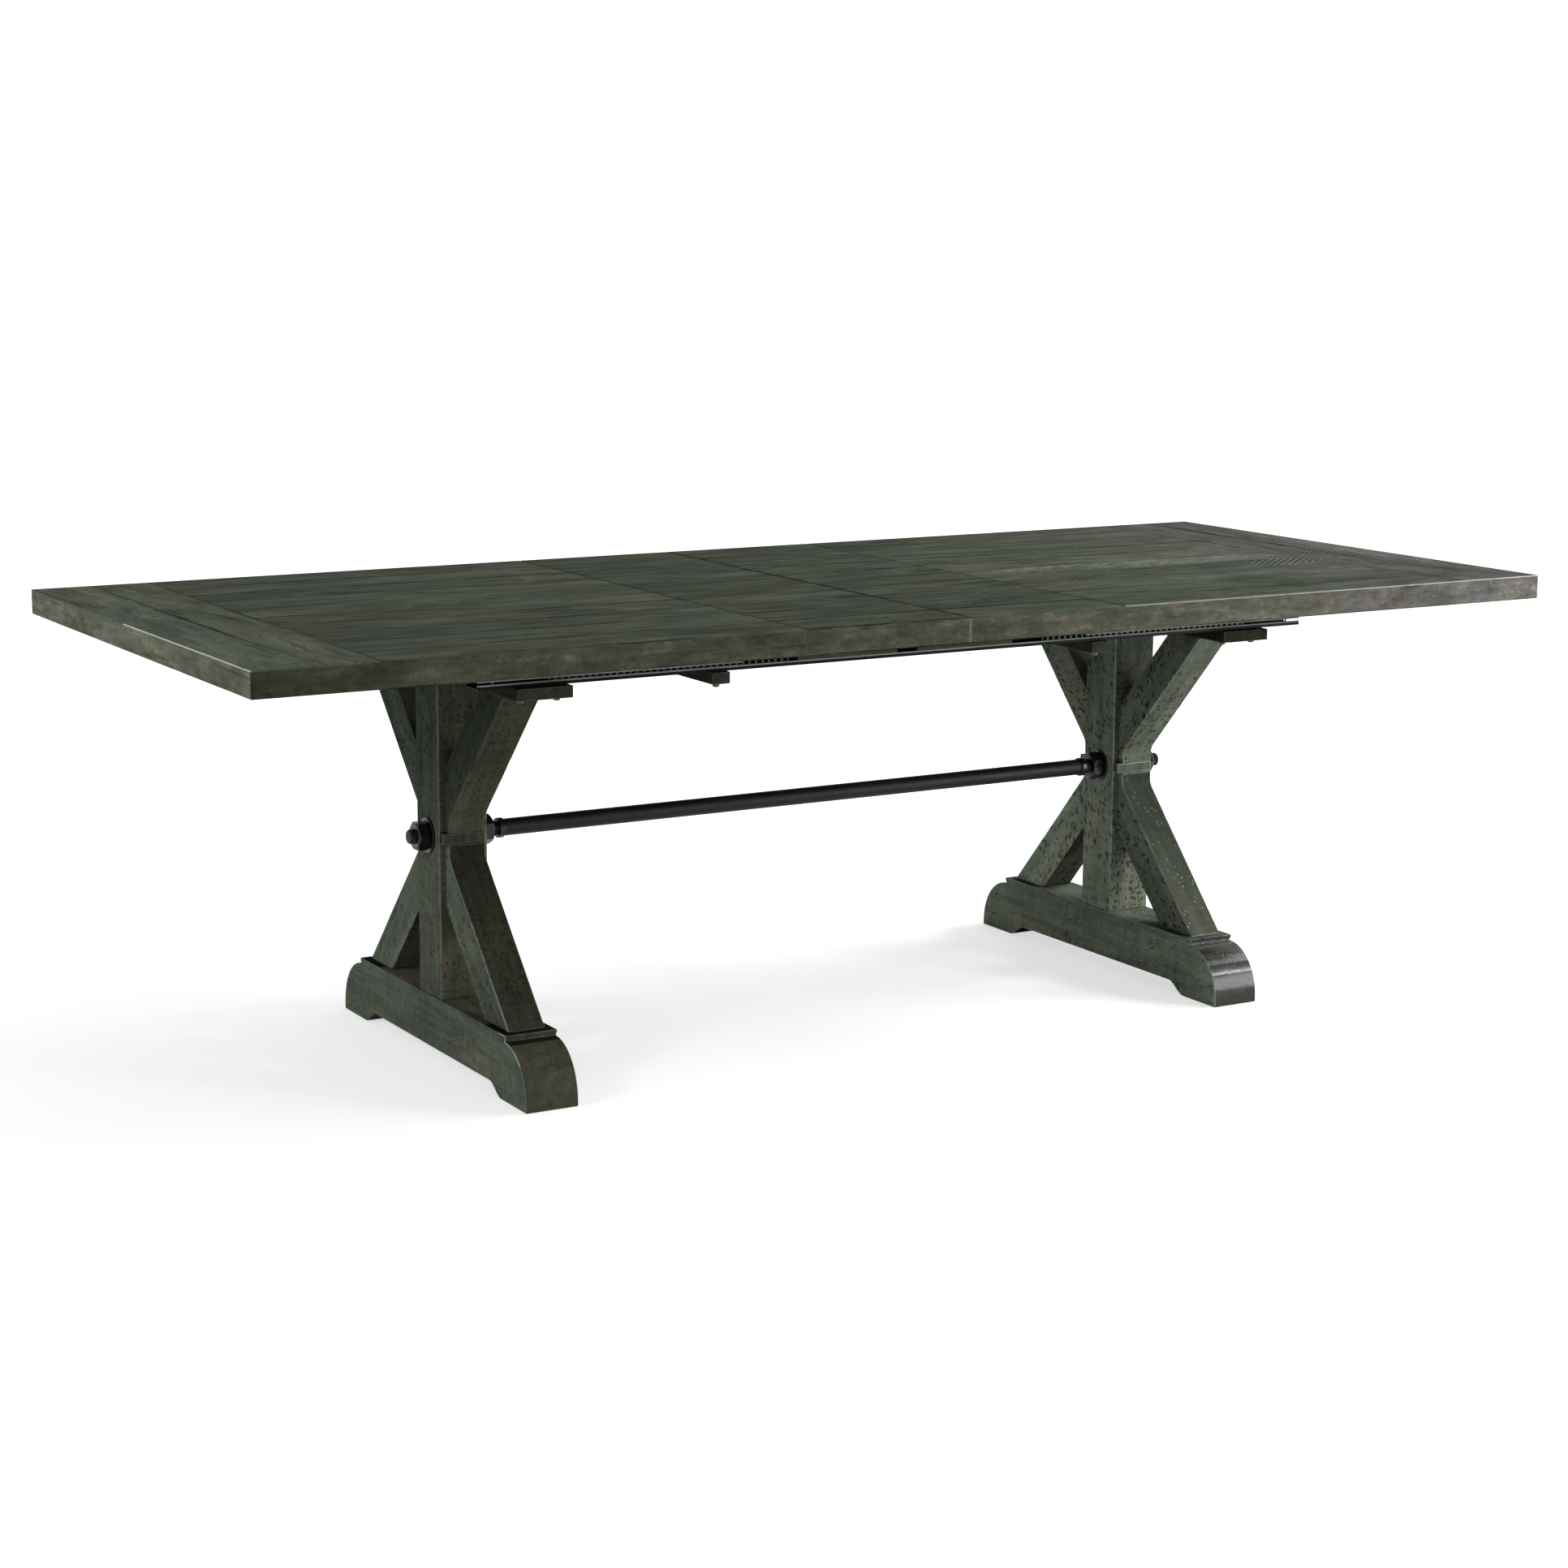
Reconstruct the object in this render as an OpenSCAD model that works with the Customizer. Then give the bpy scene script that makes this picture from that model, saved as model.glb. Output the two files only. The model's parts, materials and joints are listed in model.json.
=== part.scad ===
// Extending trestle dining table, open, with its two leaves in place.
// Millimetres, +Z up, X along the table and Y across it, front at -Y.
// The origin is on the floor under the middle of the open top.

/* [Table top] */
// Length of the top with both leaves in
top_length = 2438.4; // [2300:0.1:2600]
// Width of the top
top_width = 1045; // [1000:1:1120]
// Height of the top face above the floor
top_height = 762; // [740:1:800]
// Thickness of the planks, boards and leaves
top_thickness = 42; // [36:0.5:48]
// Length of one leaf along the table
leaf_length = 304.8; // [290:0.1:330]
// Number of planks across the top
plank_count = 10; // [8:1:12]
// Glue line between two planks
glue_line = 0.2; // [0.1:0.05:0.5]
// Width of each of the two boards across an end
end_board_width = 101.6; // [80:0.1:125]
// Gap at each seam between halves and leaves
seam_gap = 0.5; // [0.3:0.1:1.5]

/* [Feet] */
// Distance between the middles of the two trestles
trestle_spacing = 1360; // [1280:5:1440]
// Length of a foot across the table
foot_length = 748; // [700:2:800]
// Thickness of a foot along the table
foot_width = 92; // [88:1:110]
// Height of the middle of a foot, where the braces stand
foot_height = 109; // [100:1:125]
// Height of the step at each end of the foot's raised middle
foot_step = 10.5; // [7:0.5:14]
// Length of the foot's raised middle
foot_cap_length = 598; // [580:2:620]
// Depth of the bead along the top of the step
foot_bead = 3.5; // [2:0.5:5]
// Length of the pad at each end that stands on the floor
foot_pad = 94; // [70:1:110]
// Height of the relief under the foot
foot_relief = 21; // [14:1:28]
// Length of the curved shoulder between relief and pad
foot_shoulder = 46; // [30:1:60]
// Straight height at the foot's rounded ends
foot_toe = 10; // [6:1:16]

/* [Posts and braces] */
// Post size along the table
post_depth = 87; // [80:1:88]
// Post size across the table
post_width = 90; // [80:1:96]
// Brace thickness along the table
brace_thickness = 66; // [50:1:76]
// Level width of a brace where it meets the foot or the beam
brace_run = 93; // [80:1:105]
// Reach of a brace's outer corner from the post's middle
brace_spread = 283; // [260:1:288]
// Reach of the braces' upright noses and of the collar
nose_reach = 61; // [56:1:70]
// Height of the upright flat at the waist, over both noses
nose_height = 67; // [50:1:90]
// Height of the waist, at the collar's middle
waist_height = 384; // [370:1:400]
// Thickness of the collar
collar_thickness = 19; // [14:1:24]

/* [Beams] */
// Length of the beams on the trestles
beam_length = 703; // [690:1:740]
// Width of the beams on the trestles
beam_width = 97; // [92:1:110]
// Thickness of all beams
beam_thickness = 19.5; // [16:0.5:24]
// Distance of each trestle's beam outside the post's middle
beam_outset = 5; // [0:0.5:7]
// Shift of both trestle beams towards the right
beam_shift = 10; // [0:0.5:12]
// Length of the cross beams between the trestles
cross_beam_length = 686; // [680:1:720]
// Width of the cross beams
cross_beam_width = 33; // [28:1:45]
// Distance between the middles of the two cross beams
cross_beam_spacing = 745; // [700:5:800]
// Shift of the cross beams from the table's middle
cross_beam_shift = 14; // [0:1:25]

/* [Tie rod] */
// Diameter of the rod
rod_diameter = 29; // [26:0.5:34]
// Diameter of its threaded ends
thread_diameter = 25; // [20:0.5:25.5]
// Drop of the rod's axis below the waist
rod_drop = 2; // [-5:0.5:5]
// Length of thread outside the post, at each end
rod_end = 39.5; // [34:0.5:60]
// Shift of the threaded ends towards the right
rod_shift = 4; // [0:0.5:8]
// Nut size across flats
nut_flats = 45; // [40:1:52]
// Nut height
nut_height = 21.5; // [16:0.5:26]
// Washer diameter
washer_diameter = 60; // [54:1:70]
// Washer thickness
washer_thickness = 4; // [2.5:0.5:6]
// Diameter of the shoulder ring beside the inner nut
ring_diameter = 34; // [31:0.5:42]
// Length of the shoulder ring
ring_length = 10.5; // [6:0.5:18]
// Length of bare thread between the inner nut and the ring
ring_gap = 11.5; // [4:0.5:20]
// Radial clearance of the rod in posts, nuts, washers and rings
rod_clearance = 0.1; // [0.05:0.05:0.3]

/* [Slides] */
// Distance between the middles of the front and back slides
slide_spacing = 622; // [600:1:630]
// Width of a slide
slide_width = 45; // [42:1:52]
// Height of a slide from beam to runner
slide_height = 15; // [14:0.5:18]
// Height of the lower rails' sides
lower_rail_side = 7.5; // [6:0.25:8]
// Height of the upper rails' sides
upper_rail_side = 3.5; // [3:0.25:4.5]
// Wall thickness of the rails
rail_wall = 2; // [1.5:0.25:2.5]
// Length of the fixed lower rails
lower_rail_length = 1610; // [1560:5:1680]
// Shift of the slides from the table's middle
slide_shift = 23; // [0:1:30]
// Length of the moving upper rails
upper_rail_length = 467; // [420:1:490]
// Distance from the slide's end to the middle of its ball cage
cage_inset = 339; // [320:1:360]
// Number of balls in each of a cage's two rows
ball_count = 36; // [24:1:37]
// Distance from ball to ball
ball_pitch = 12; // [11.5:0.1:12.4]
// Clearance round each ball
ball_clearance = 0.3; // [0.2:0.05:0.5]
// Sheet thickness of the ball cages
cage_sheet = 1; // [0.8:0.1:1.4]
// Height of a ball cage
cage_height = 9; // [7:0.25:9.4]
// Clearance between a ball cage and the rails' sides
cage_clearance = 1.5; // [0.5:0.1:2.5]
// Distance from an upper rail's outer end to its stop pin
stop_inset = 27; // [16:1:40]
// Diameter of the stop pins
stop_diameter = 3.6; // [3:0.1:4]
// Length of a stop pin below its rail's web
stop_length = 5; // [3:0.5:7]
// Gap between a stop pin and the side of its rail
stop_gap = 1; // [0.5:0.25:6]

/* [Runners and bearers] */
// Width of the runners under the halves
runner_width = 60; // [48:1:80]
// Height of the runners under the halves
runner_height = 30.5; // [24:0.5:40]
// Distance from the middle seam to a leaf's bearer
bearer_inset = 20; // [10:1:40]
// Gap between the left leaf's bearers and the ball cages
bearer_gap = 17; // [8:1:50]
// Clearance between a bearer and the lower rail
bearer_clearance = 0.3; // [0.2:0.1:0.6]

/* [Screws] */
// Head diameter of the screws under the beams
beam_screw_head = 11.5; // [9:0.5:14]
// Head height of the screws under the beams
beam_screw_rise = 6.6; // [2:0.2:8]
// Shank diameter of the screws under the beams
beam_screw_shank = 5; // [4:0.5:6]
// Distance between the two screws across a trestle's beam
beam_screw_pitch = 64; // [50:1:72]
// Distance of the beam screws outside the slide's middle
beam_screw_offset = 14; // [8:1:15]
// Head diameter of the screws in the upper rails
rail_screw_head = 9; // [7:0.5:11]
// Shank diameter of the screws in the upper rails
rail_screw_shank = 4.5; // [3.5:0.5:5.5]
// Wood left above the tips of the screws in the upper rails
rail_screw_cover = 6.5; // [3:0.5:14]
// Number of screws in each upper rail
rail_screw_count = 4; // [3:1:6]
// Distance from an upper rail's end to its first screw
rail_screw_inset = 45; // [36:1:70]
// Radial clearance of screws and pins in their holes
screw_clearance = 0.05; // [0.02:0.01:0.15]

/* [Hidden] */
$fn = 48;
WOOD = "#6f6c5c";
WOOD_DARK = "#56574a";
STEEL = "#3b3f40";
ZINC = "#b9bcb8";
CURVE_STEPS = 14;
EPS = 1;

top_underside = top_height - top_thickness;
half_length = top_length / 2;
half_inner = leaf_length + seam_gap / 2;
field_end = half_length - 2 * end_board_width;
plank_pitch = (top_width + glue_line) / plank_count;

foot_half = foot_length / 2;
cap_half = foot_cap_length / 2;
ledge_height = foot_height - foot_step;
ledge_start = cap_half - foot_bead;
post_x = trestle_spacing / 2;
rod_height = waist_height - rod_drop;

slide_top = top_underside - runner_height;
slide_bottom = slide_top - slide_height;
slide_middle = slide_bottom + slide_height / 2;
beam_bottom = slide_bottom - beam_thickness;
slide_y = slide_spacing / 2;
rail_inner = slide_width / 2 - rail_wall;
ball_radius = slide_height / 2 - rail_wall - ball_clearance;
ball_offset = rail_inner - ball_radius - ball_clearance;
cage_top = cage_height / 2;
cage_half_width = rail_inner - cage_clearance;
cage_length = ball_count * ball_pitch;
bearer_bottom = slide_bottom + lower_rail_side + bearer_clearance;
bearer_reach = lower_rail_length / 2 - slide_shift - cage_inset - cage_length / 2 - bearer_gap;
bearer_length = bearer_reach - bearer_inset;
rail_screw_length = rail_wall + runner_height - rail_screw_cover;

washer_inner_x = post_x - post_depth / 2 - washer_thickness;
nut_inner_x = washer_inner_x - nut_height;
ring_inner_x = nut_inner_x - ring_gap - ring_length;
washer_outer_x = post_x + post_depth / 2;
nut_outer_x = washer_outer_x + washer_thickness;

// Points of an outline given for the positive half, closed by its mirror image
function mirrored(points) = concat(
    points,
    [for (i = [len(points) - 1:-1:0]) [-points[i][0], points[i][1]]]
);

// Rounded end of a foot, from the ledge beside the step down to the toe
function toe_curve() = [for (i = [0:CURVE_STEPS]) let (a = 90 * i / CURVE_STEPS) [
    ledge_start + (foot_half - ledge_start) * sin(a),
    foot_toe + (ledge_height - foot_toe) * cos(a)
]];

// Shoulder under a foot, from the pad up to the relief
function shoulder_curve() = [for (i = [0:CURVE_STEPS]) let (a = 180 * i / CURVE_STEPS) [
    foot_half - foot_pad - foot_shoulder * i / CURVE_STEPS,
    foot_relief * (1 - cos(a)) / 2
]];

// Draws an outline of Y and Z along X
module along_x(length) {
    rotate([90, 0, 90]) linear_extrude(height = length, center = true) children();
}

// Cylinder along X from x, with its axis at the rod's height
module x_cylinder(x, length, diameter, sides = 48, turn = 0) {
    translate([x, 0, rod_height]) rotate([0, 90, 0]) rotate([0, 0, turn])
        cylinder(h = length, d = diameter, $fn = sides);
}

// Hole for the rod's thread through pieces at x
module rod_hole(x, length) {
    x_cylinder(x - EPS, length + 2 * EPS, thread_diameter + 2 * rod_clearance);
}

module foot(side) {
    outline = mirrored(concat(
        [[cap_half, foot_height], [cap_half, ledge_height + foot_step / 2],
         [ledge_start, ledge_height + foot_step / 4]],
        toe_curve(),
        [[foot_half, 0]],
        shoulder_curve()
    ));
    color(WOOD) translate([side * post_x, 0, 0]) along_x(foot_width) polygon(outline);
}

module post(side) {
    color(WOOD) difference() {
        translate([side * post_x - post_depth / 2, -post_width / 2, foot_height])
            cube([post_depth, post_width, beam_bottom - foot_height]);
        rod_hole(side * post_x - post_depth / 2, post_depth);
    }
}

module collar(side, face) {
    color(WOOD) translate([side * post_x - post_depth / 2, 0, waist_height - collar_thickness / 2])
        mirror([0, face < 0 ? 1 : 0, 0]) translate([0, post_width / 2, 0])
            cube([(post_depth + brace_thickness) / 2, nose_reach - post_width / 2, collar_thickness]);
}

// Brace between the waist and the level given as end_z; up is 1 above the waist and -1 below
module brace(side, face, up, end_z) {
    nose_z = waist_height + up * nose_height / 2;
    collar_z = waist_height + up * collar_thickness / 2;
    slope = (nose_z - end_z) / (brace_spread - nose_reach);
    crotch_z = end_z + slope * (brace_spread - brace_run - post_width / 2);
    color(WOOD) translate([side * post_x, 0, 0]) mirror([0, face < 0 ? 1 : 0, 0])
        along_x(brace_thickness) polygon([
            [brace_spread, end_z],
            [nose_reach, nose_z],
            [nose_reach, collar_z],
            [post_width / 2, collar_z],
            [post_width / 2, crotch_z],
            [brace_spread - brace_run, end_z]
        ]);
}

// X of the middle of a side's beams, on its trestle and between the trestles
function top_beam_x(side) = side * (post_x + beam_outset) + beam_shift;
function cross_beam_x(side) = side * cross_beam_spacing / 2 + cross_beam_shift;

// Places its children at every screw under one beam
module at_beam_screws(x, pitch) {
    for (dx = pitch > 0 ? [-pitch / 2, pitch / 2] : [0], face = [-1, 1])
        translate([x + dx, face * (slide_y + beam_screw_offset), beam_bottom]) children();
}

// Places its children at every screw of all four beams
module at_all_beam_screws() {
    for (side = [-1, 1]) {
        at_beam_screws(top_beam_x(side), beam_screw_pitch) children();
        at_beam_screws(cross_beam_x(side), 0) children();
    }
}

module beam_screw_holes() {
    at_all_beam_screws() translate([0, 0, -EPS])
        cylinder(h = beam_thickness + rail_wall + 2 * EPS, d = beam_screw_shank + 2 * screw_clearance);
}

module beam(x, length, width) {
    color(WOOD_DARK) difference() {
        translate([x - width / 2, -length / 2, beam_bottom]) cube([width, length, beam_thickness]);
        beam_screw_holes();
    }
}

module beam_screws() {
    color(STEEL) at_all_beam_screws() {
        translate([0, 0, -beam_screw_rise]) cylinder(h = beam_screw_rise, d = beam_screw_head);
        cylinder(h = beam_thickness + rail_wall, d = beam_screw_shank);
    }
}

module tie_rod() {
    end_x = post_x + post_depth / 2 + rod_end;
    color(STEEL) {
        x_cylinder(-ring_inner_x, 2 * ring_inner_x, rod_diameter);
        x_cylinder(rod_shift - end_x, 2 * end_x, thread_diameter);
    }
}

// One round or six-sided piece on the rod's thread at each end of the rod
module rod_pieces(x, length, diameter, sides, turn) {
    for (side = [-1, 1]) mirror([side < 0 ? 1 : 0, 0, 0]) difference() {
        x_cylinder(x, length, diameter, sides, turn);
        rod_hole(x, length);
    }
}

module rod_nuts(x, turn) {
    color(STEEL) rod_pieces(x, nut_height, nut_flats / cos(30), 6, turn);
}

module rod_rings() {
    color(STEEL) rod_pieces(ring_inner_x, ring_length, ring_diameter, 48, 0);
}

module rod_washers() {
    color(STEEL) {
        rod_pieces(washer_inner_x, washer_thickness, washer_diameter, 48, 0);
        rod_pieces(washer_outer_x, washer_thickness, washer_diameter, 48, 0);
    }
}

// Channel of a rail, open upwards
module rail_outline(side_height) {
    difference() {
        translate([-slide_width / 2, 0]) square([slide_width, side_height]);
        translate([-rail_inner, rail_wall]) square([2 * rail_inner, side_height]);
    }
}

module lower_rail(face) {
    color(STEEL) difference() {
        translate([slide_shift, face * slide_y, slide_bottom])
            along_x(lower_rail_length) rail_outline(lower_rail_side);
        beam_screw_holes();
    }
}

// X of the outer end of a side's slides, and of the middle of its upper rails
function slide_end(side) = slide_shift + side * lower_rail_length / 2;
function upper_rail_x(side) = slide_end(side) - side * upper_rail_length / 2;

// Places its children at every screw of one side's upper rail, screw tip upwards
module at_rail_screws(side, face) {
    span = upper_rail_length - 2 * rail_screw_inset;
    for (i = [0:rail_screw_count - 1])
        translate([upper_rail_x(side) + span * (i / (rail_screw_count - 1) - 0.5),
                   face * slide_y, slide_top - rail_wall]) children();
}

module rail_screw(clearance) {
    cylinder(h = rail_wall, d1 = rail_screw_head + 2 * clearance, d2 = rail_screw_shank + 2 * clearance);
    cylinder(h = rail_screw_length, d = rail_screw_shank + 2 * clearance);
}

// Pin that hangs from an upper rail near its outer end, beside the rail's outer side
module stop_pin(side, face, clearance) {
    pin_y = slide_y + rail_inner - stop_gap - stop_diameter / 2;
    translate([slide_end(side) - side * stop_inset, face * pin_y, slide_top - rail_wall - stop_length])
        cylinder(h = rail_wall + stop_length, d = stop_diameter + 2 * clearance);
}

module upper_rail(side, face) {
    color(STEEL) difference() {
        translate([upper_rail_x(side), face * slide_y, slide_top]) mirror([0, 0, 1])
            along_x(upper_rail_length) rail_outline(upper_rail_side);
        at_rail_screws(side, face) rail_screw(screw_clearance);
        stop_pin(side, face, screw_clearance);
    }
}

module runner(side, face) {
    color(WOOD_DARK) difference() {
        translate([upper_rail_x(side) - upper_rail_length / 2, face * slide_y - runner_width / 2, slide_top])
            cube([upper_rail_length, runner_width, top_underside - slide_top]);
        at_rail_screws(side, face) rail_screw(screw_clearance);
    }
}

module rail_screws(side) {
    color(ZINC) for (face = [-1, 1]) at_rail_screws(side, face) rail_screw(0);
}

module stop_pins(side) {
    color(ZINC) for (face = [-1, 1]) stop_pin(side, face, 0);
}

// Places its children at every ball of one cage
module at_balls(side, face) {
    cage_x = slide_end(side) - side * cage_inset;
    for (i = [0:ball_count - 1], row = [-1, 1])
        translate([cage_x + (i - (ball_count - 1) / 2) * ball_pitch,
                   face * slide_y + row * ball_offset, slide_middle]) children();
}

module cage(side, face) {
    color(ZINC) difference() {
        translate([slide_end(side) - side * cage_inset, face * slide_y, slide_middle])
            along_x(cage_length) difference() {
                translate([-cage_half_width, -cage_top]) square([2 * cage_half_width, cage_height]);
                translate([cage_sheet - cage_half_width, -cage_top - EPS])
                    square([2 * (cage_half_width - cage_sheet), cage_height - cage_sheet + EPS]);
            }
        at_balls(side, face)
            cylinder(h = slide_height, r = ball_radius + ball_clearance, center = true);
    }
}

module balls(side, face) {
    color(STEEL) at_balls(side, face) sphere(r = ball_radius);
}

// Planks side by side across the top, from x0 to x1
module planks(x0, x1) {
    color(WOOD) for (i = [0:plank_count - 1])
        translate([min(x0, x1), -top_width / 2 + i * plank_pitch, top_underside])
            cube([abs(x1 - x0), plank_pitch - glue_line, top_thickness]);
}

module end_board(side, x_inner) {
    color(WOOD) translate([side > 0 ? x_inner : -x_inner - end_board_width, -top_width / 2, top_underside])
        cube([end_board_width, top_width, top_thickness]);
}

module leaf_planks(side) {
    planks(side * seam_gap / 2, side * (leaf_length - seam_gap / 2));
}

module bearer(side, face) {
    color(WOOD_DARK)
        translate([side * (bearer_inset + bearer_length / 2) - bearer_length / 2,
                   face * slide_y - slide_width / 2, bearer_bottom])
            cube([bearer_length, slide_width, top_underside - bearer_bottom]);
}

foot(-1);  // foot_left
foot(1);  // foot_right
post(-1);  // post_left
post(1);  // post_right
collar(-1, -1);  // collar_left_front
collar(-1, 1);  // collar_left_back
collar(1, -1);  // collar_right_front
collar(1, 1);  // collar_right_back
brace(-1, -1, -1, foot_height);  // lower_brace_left_front
brace(-1, 1, -1, foot_height);  // lower_brace_left_back
brace(1, -1, -1, foot_height);  // lower_brace_right_front
brace(1, 1, -1, foot_height);  // lower_brace_right_back
brace(-1, -1, 1, beam_bottom);  // upper_brace_left_front
brace(-1, 1, 1, beam_bottom);  // upper_brace_left_back
brace(1, -1, 1, beam_bottom);  // upper_brace_right_front
brace(1, 1, 1, beam_bottom);  // upper_brace_right_back
beam(top_beam_x(-1), beam_length, beam_width);  // top_beam_left
beam(top_beam_x(1), beam_length, beam_width);  // top_beam_right
beam(cross_beam_x(-1), cross_beam_length, cross_beam_width);  // cross_beam_left
beam(cross_beam_x(1), cross_beam_length, cross_beam_width);  // cross_beam_right
tie_rod();
rod_rings();
rod_nuts(nut_inner_x, 0);  // rod_inner_nuts
rod_nuts(nut_outer_x, 30);  // rod_outer_nuts
rod_washers();
lower_rail(-1);  // lower_rail_front
lower_rail(1);  // lower_rail_back
beam_screws();
planks(-field_end, -half_inner);  // left_planks
end_board(-1, field_end);  // left_inner_end_board
end_board(-1, field_end + end_board_width);  // left_outer_end_board
runner(-1, -1);  // left_front_runner
runner(-1, 1);  // left_back_runner
upper_rail(-1, -1);  // left_front_upper_rail
upper_rail(-1, 1);  // left_back_upper_rail
rail_screws(-1);  // left_rail_screws
stop_pins(-1);  // left_stop_pins
planks(half_inner, field_end);  // right_planks
end_board(1, field_end);  // right_inner_end_board
end_board(1, field_end + end_board_width);  // right_outer_end_board
runner(1, -1);  // right_front_runner
runner(1, 1);  // right_back_runner
upper_rail(1, -1);  // right_front_upper_rail
upper_rail(1, 1);  // right_back_upper_rail
rail_screws(1);  // right_rail_screws
stop_pins(1);  // right_stop_pins
leaf_planks(-1);  // leaf_left_planks
bearer(-1, -1);  // leaf_left_front_bearer
bearer(-1, 1);  // leaf_left_back_bearer
leaf_planks(1);  // leaf_right_planks
bearer(1, -1);  // leaf_right_front_bearer
bearer(1, 1);  // leaf_right_back_bearer
cage(-1, -1);  // left_front_cage
cage(-1, 1);  // left_back_cage
cage(1, -1);  // right_front_cage
cage(1, 1);  // right_back_cage
balls(-1, -1);  // left_front_balls
balls(-1, 1);  // left_back_balls
balls(1, -1);  // right_front_balls
balls(1, 1);  // right_back_balls
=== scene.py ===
"""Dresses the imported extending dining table: worn, stained boards, a turned tie rod and steel slides."""
import json
import math
import random

import bmesh
import bpy
from mathutils import Matrix, Vector, noise

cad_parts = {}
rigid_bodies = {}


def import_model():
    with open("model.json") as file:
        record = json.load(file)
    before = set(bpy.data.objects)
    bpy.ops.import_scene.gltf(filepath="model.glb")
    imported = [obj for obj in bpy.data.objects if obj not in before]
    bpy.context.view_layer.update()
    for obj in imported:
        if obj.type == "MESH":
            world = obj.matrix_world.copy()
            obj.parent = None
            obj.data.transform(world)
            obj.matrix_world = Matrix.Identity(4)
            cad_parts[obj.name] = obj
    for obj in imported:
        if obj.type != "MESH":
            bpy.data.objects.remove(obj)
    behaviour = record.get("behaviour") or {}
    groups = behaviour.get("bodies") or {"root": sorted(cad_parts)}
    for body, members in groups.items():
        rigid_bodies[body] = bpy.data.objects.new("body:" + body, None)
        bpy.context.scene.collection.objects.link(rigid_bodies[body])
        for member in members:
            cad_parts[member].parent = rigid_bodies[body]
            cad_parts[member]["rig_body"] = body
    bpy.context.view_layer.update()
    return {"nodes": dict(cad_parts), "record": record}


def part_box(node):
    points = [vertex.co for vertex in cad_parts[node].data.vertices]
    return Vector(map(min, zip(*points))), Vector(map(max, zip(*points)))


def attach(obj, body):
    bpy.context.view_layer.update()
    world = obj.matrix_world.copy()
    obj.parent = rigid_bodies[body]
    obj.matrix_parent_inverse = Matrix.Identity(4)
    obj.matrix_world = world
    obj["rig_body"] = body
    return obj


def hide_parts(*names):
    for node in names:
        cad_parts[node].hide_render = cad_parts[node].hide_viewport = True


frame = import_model()

bl_info = {
    "name": "Extending Trestle Table",
    "version": (1, 0, 0),
    "blender": (4, 5, 0),
    "location": "3D View > Sidebar > Table",
    "description": "Boards, tie rod, slides and studio of an extending dining table",
    "category": "Object",
}

SIDES = ("left", "right")
SLOTS = {part["node"]: part["material_slot"] for part in frame["record"]["subparts"]}


def nodes_in(slot):
    return [node for node, own in SLOTS.items() if own == slot]


TOP_NODES = nodes_in("top_wood")
TRESTLE_NODES = nodes_in("base_wood")
BEAM_NODES = nodes_in("beam_wood")

MERGE = 0.00001
FLAT_ANGLE = math.radians(0.5)
ROUND_ANGLE = math.radians(35)
SHARP_ANGLE = math.radians(50)
UPRIGHT = 0.98
NEAR = 0.001
FLOOR_GAP = 0.0003
FLOOR_REACH = 30.0
WHITE = (1.0, 1.0, 1.0)

# Halves and leaves, each with the nodes at its left and right end
PANELS = (
    ("left_outer_end_board", "left_planks"), ("leaf_left_planks", "leaf_left_planks"),
    ("leaf_right_planks", "leaf_right_planks"), ("right_planks", "right_outer_end_board"),
)

# Edges: how near to them their rounded faces lie, the shortest ones that are rounded on beams and on posts,
# the most that wear takes of their rounding, and the painted highlight from which they are glossier as well
EDGE = 0.004
SHORT_EDGE = 0.015
SHORT_POST_EDGE = 0.02
MOST_WEAR = 0.6
SHINE_FROM = 0.15

# Wear of the rounded edges, as shares of its depth
LONG_WEAR = 0.45
LONG_WEAR_PER_METRE = 9
DENTS_PER_METRE = 55
DENT_FROM = 0.28
DENT_GAIN = 2.4

# Noses of the braces beside the collars: their reach from the post, and the angles of their edges
NOSE_FROM = 0.01
NOSE_TO = 0.03
NOSE_ANGLES = (0.3, 1.2)

# Feet: the rounded toes, the edge on the left one with a painted highlight, and where the ledges begin
TOE_LENGTH = 0.074
TOE_FROM = -0.27
TOE_ABOVE = 0.07
GLINT_TO = -0.26
LEDGE_FROM = 0.22

# Top: where the painted highlight on the left end's edge stops, and the seams on the front that carry a painted
# highlight
GLINT_END_TO = 0.04
SEAMS_WITHIN = 0.32
MIDDLE_SEAM = 0.02

# Grain: how far boards lie apart in the noise, and where the rim, which has no boards, lies in it
NOISE_SPREAD = 10.0
WHOLE = Vector((10.0, 10.0, 10.0))
RIM_SHIFT = Vector((3.0, 7.0, 1.0))

# Depth of the grain and of the scratches in the surfaces
TOP_RELIEF = 0.0009
TRESTLE_RELIEF = 0.0011
POLISHED_RELIEF = 0.0002
STEEL_RELIEF = 0.00005
PAINT_RELIEF = 0.00012

# Saw marks on the top: place along and across, length, width, angle, pitch and strength
SAW_PATCHES = (
    (0.54, -0.152, 0.12, 0.042, 52, 0.0100, 0.55),
    (0.95, -0.140, 0.09, 0.040, 50, 0.0110, 0.55),
    (0.75, 0.220, 0.08, 0.050, 52, 0.0100, 0.50),
    (0.50, 0.235, 0.05, 0.036, 52, 0.0100, 0.50),
    (1.12, 0.10, 0.08, 0.30, 48, 0.0090, 0.26),
)
WAVES_PER_METRE = 10 / math.pi
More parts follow.
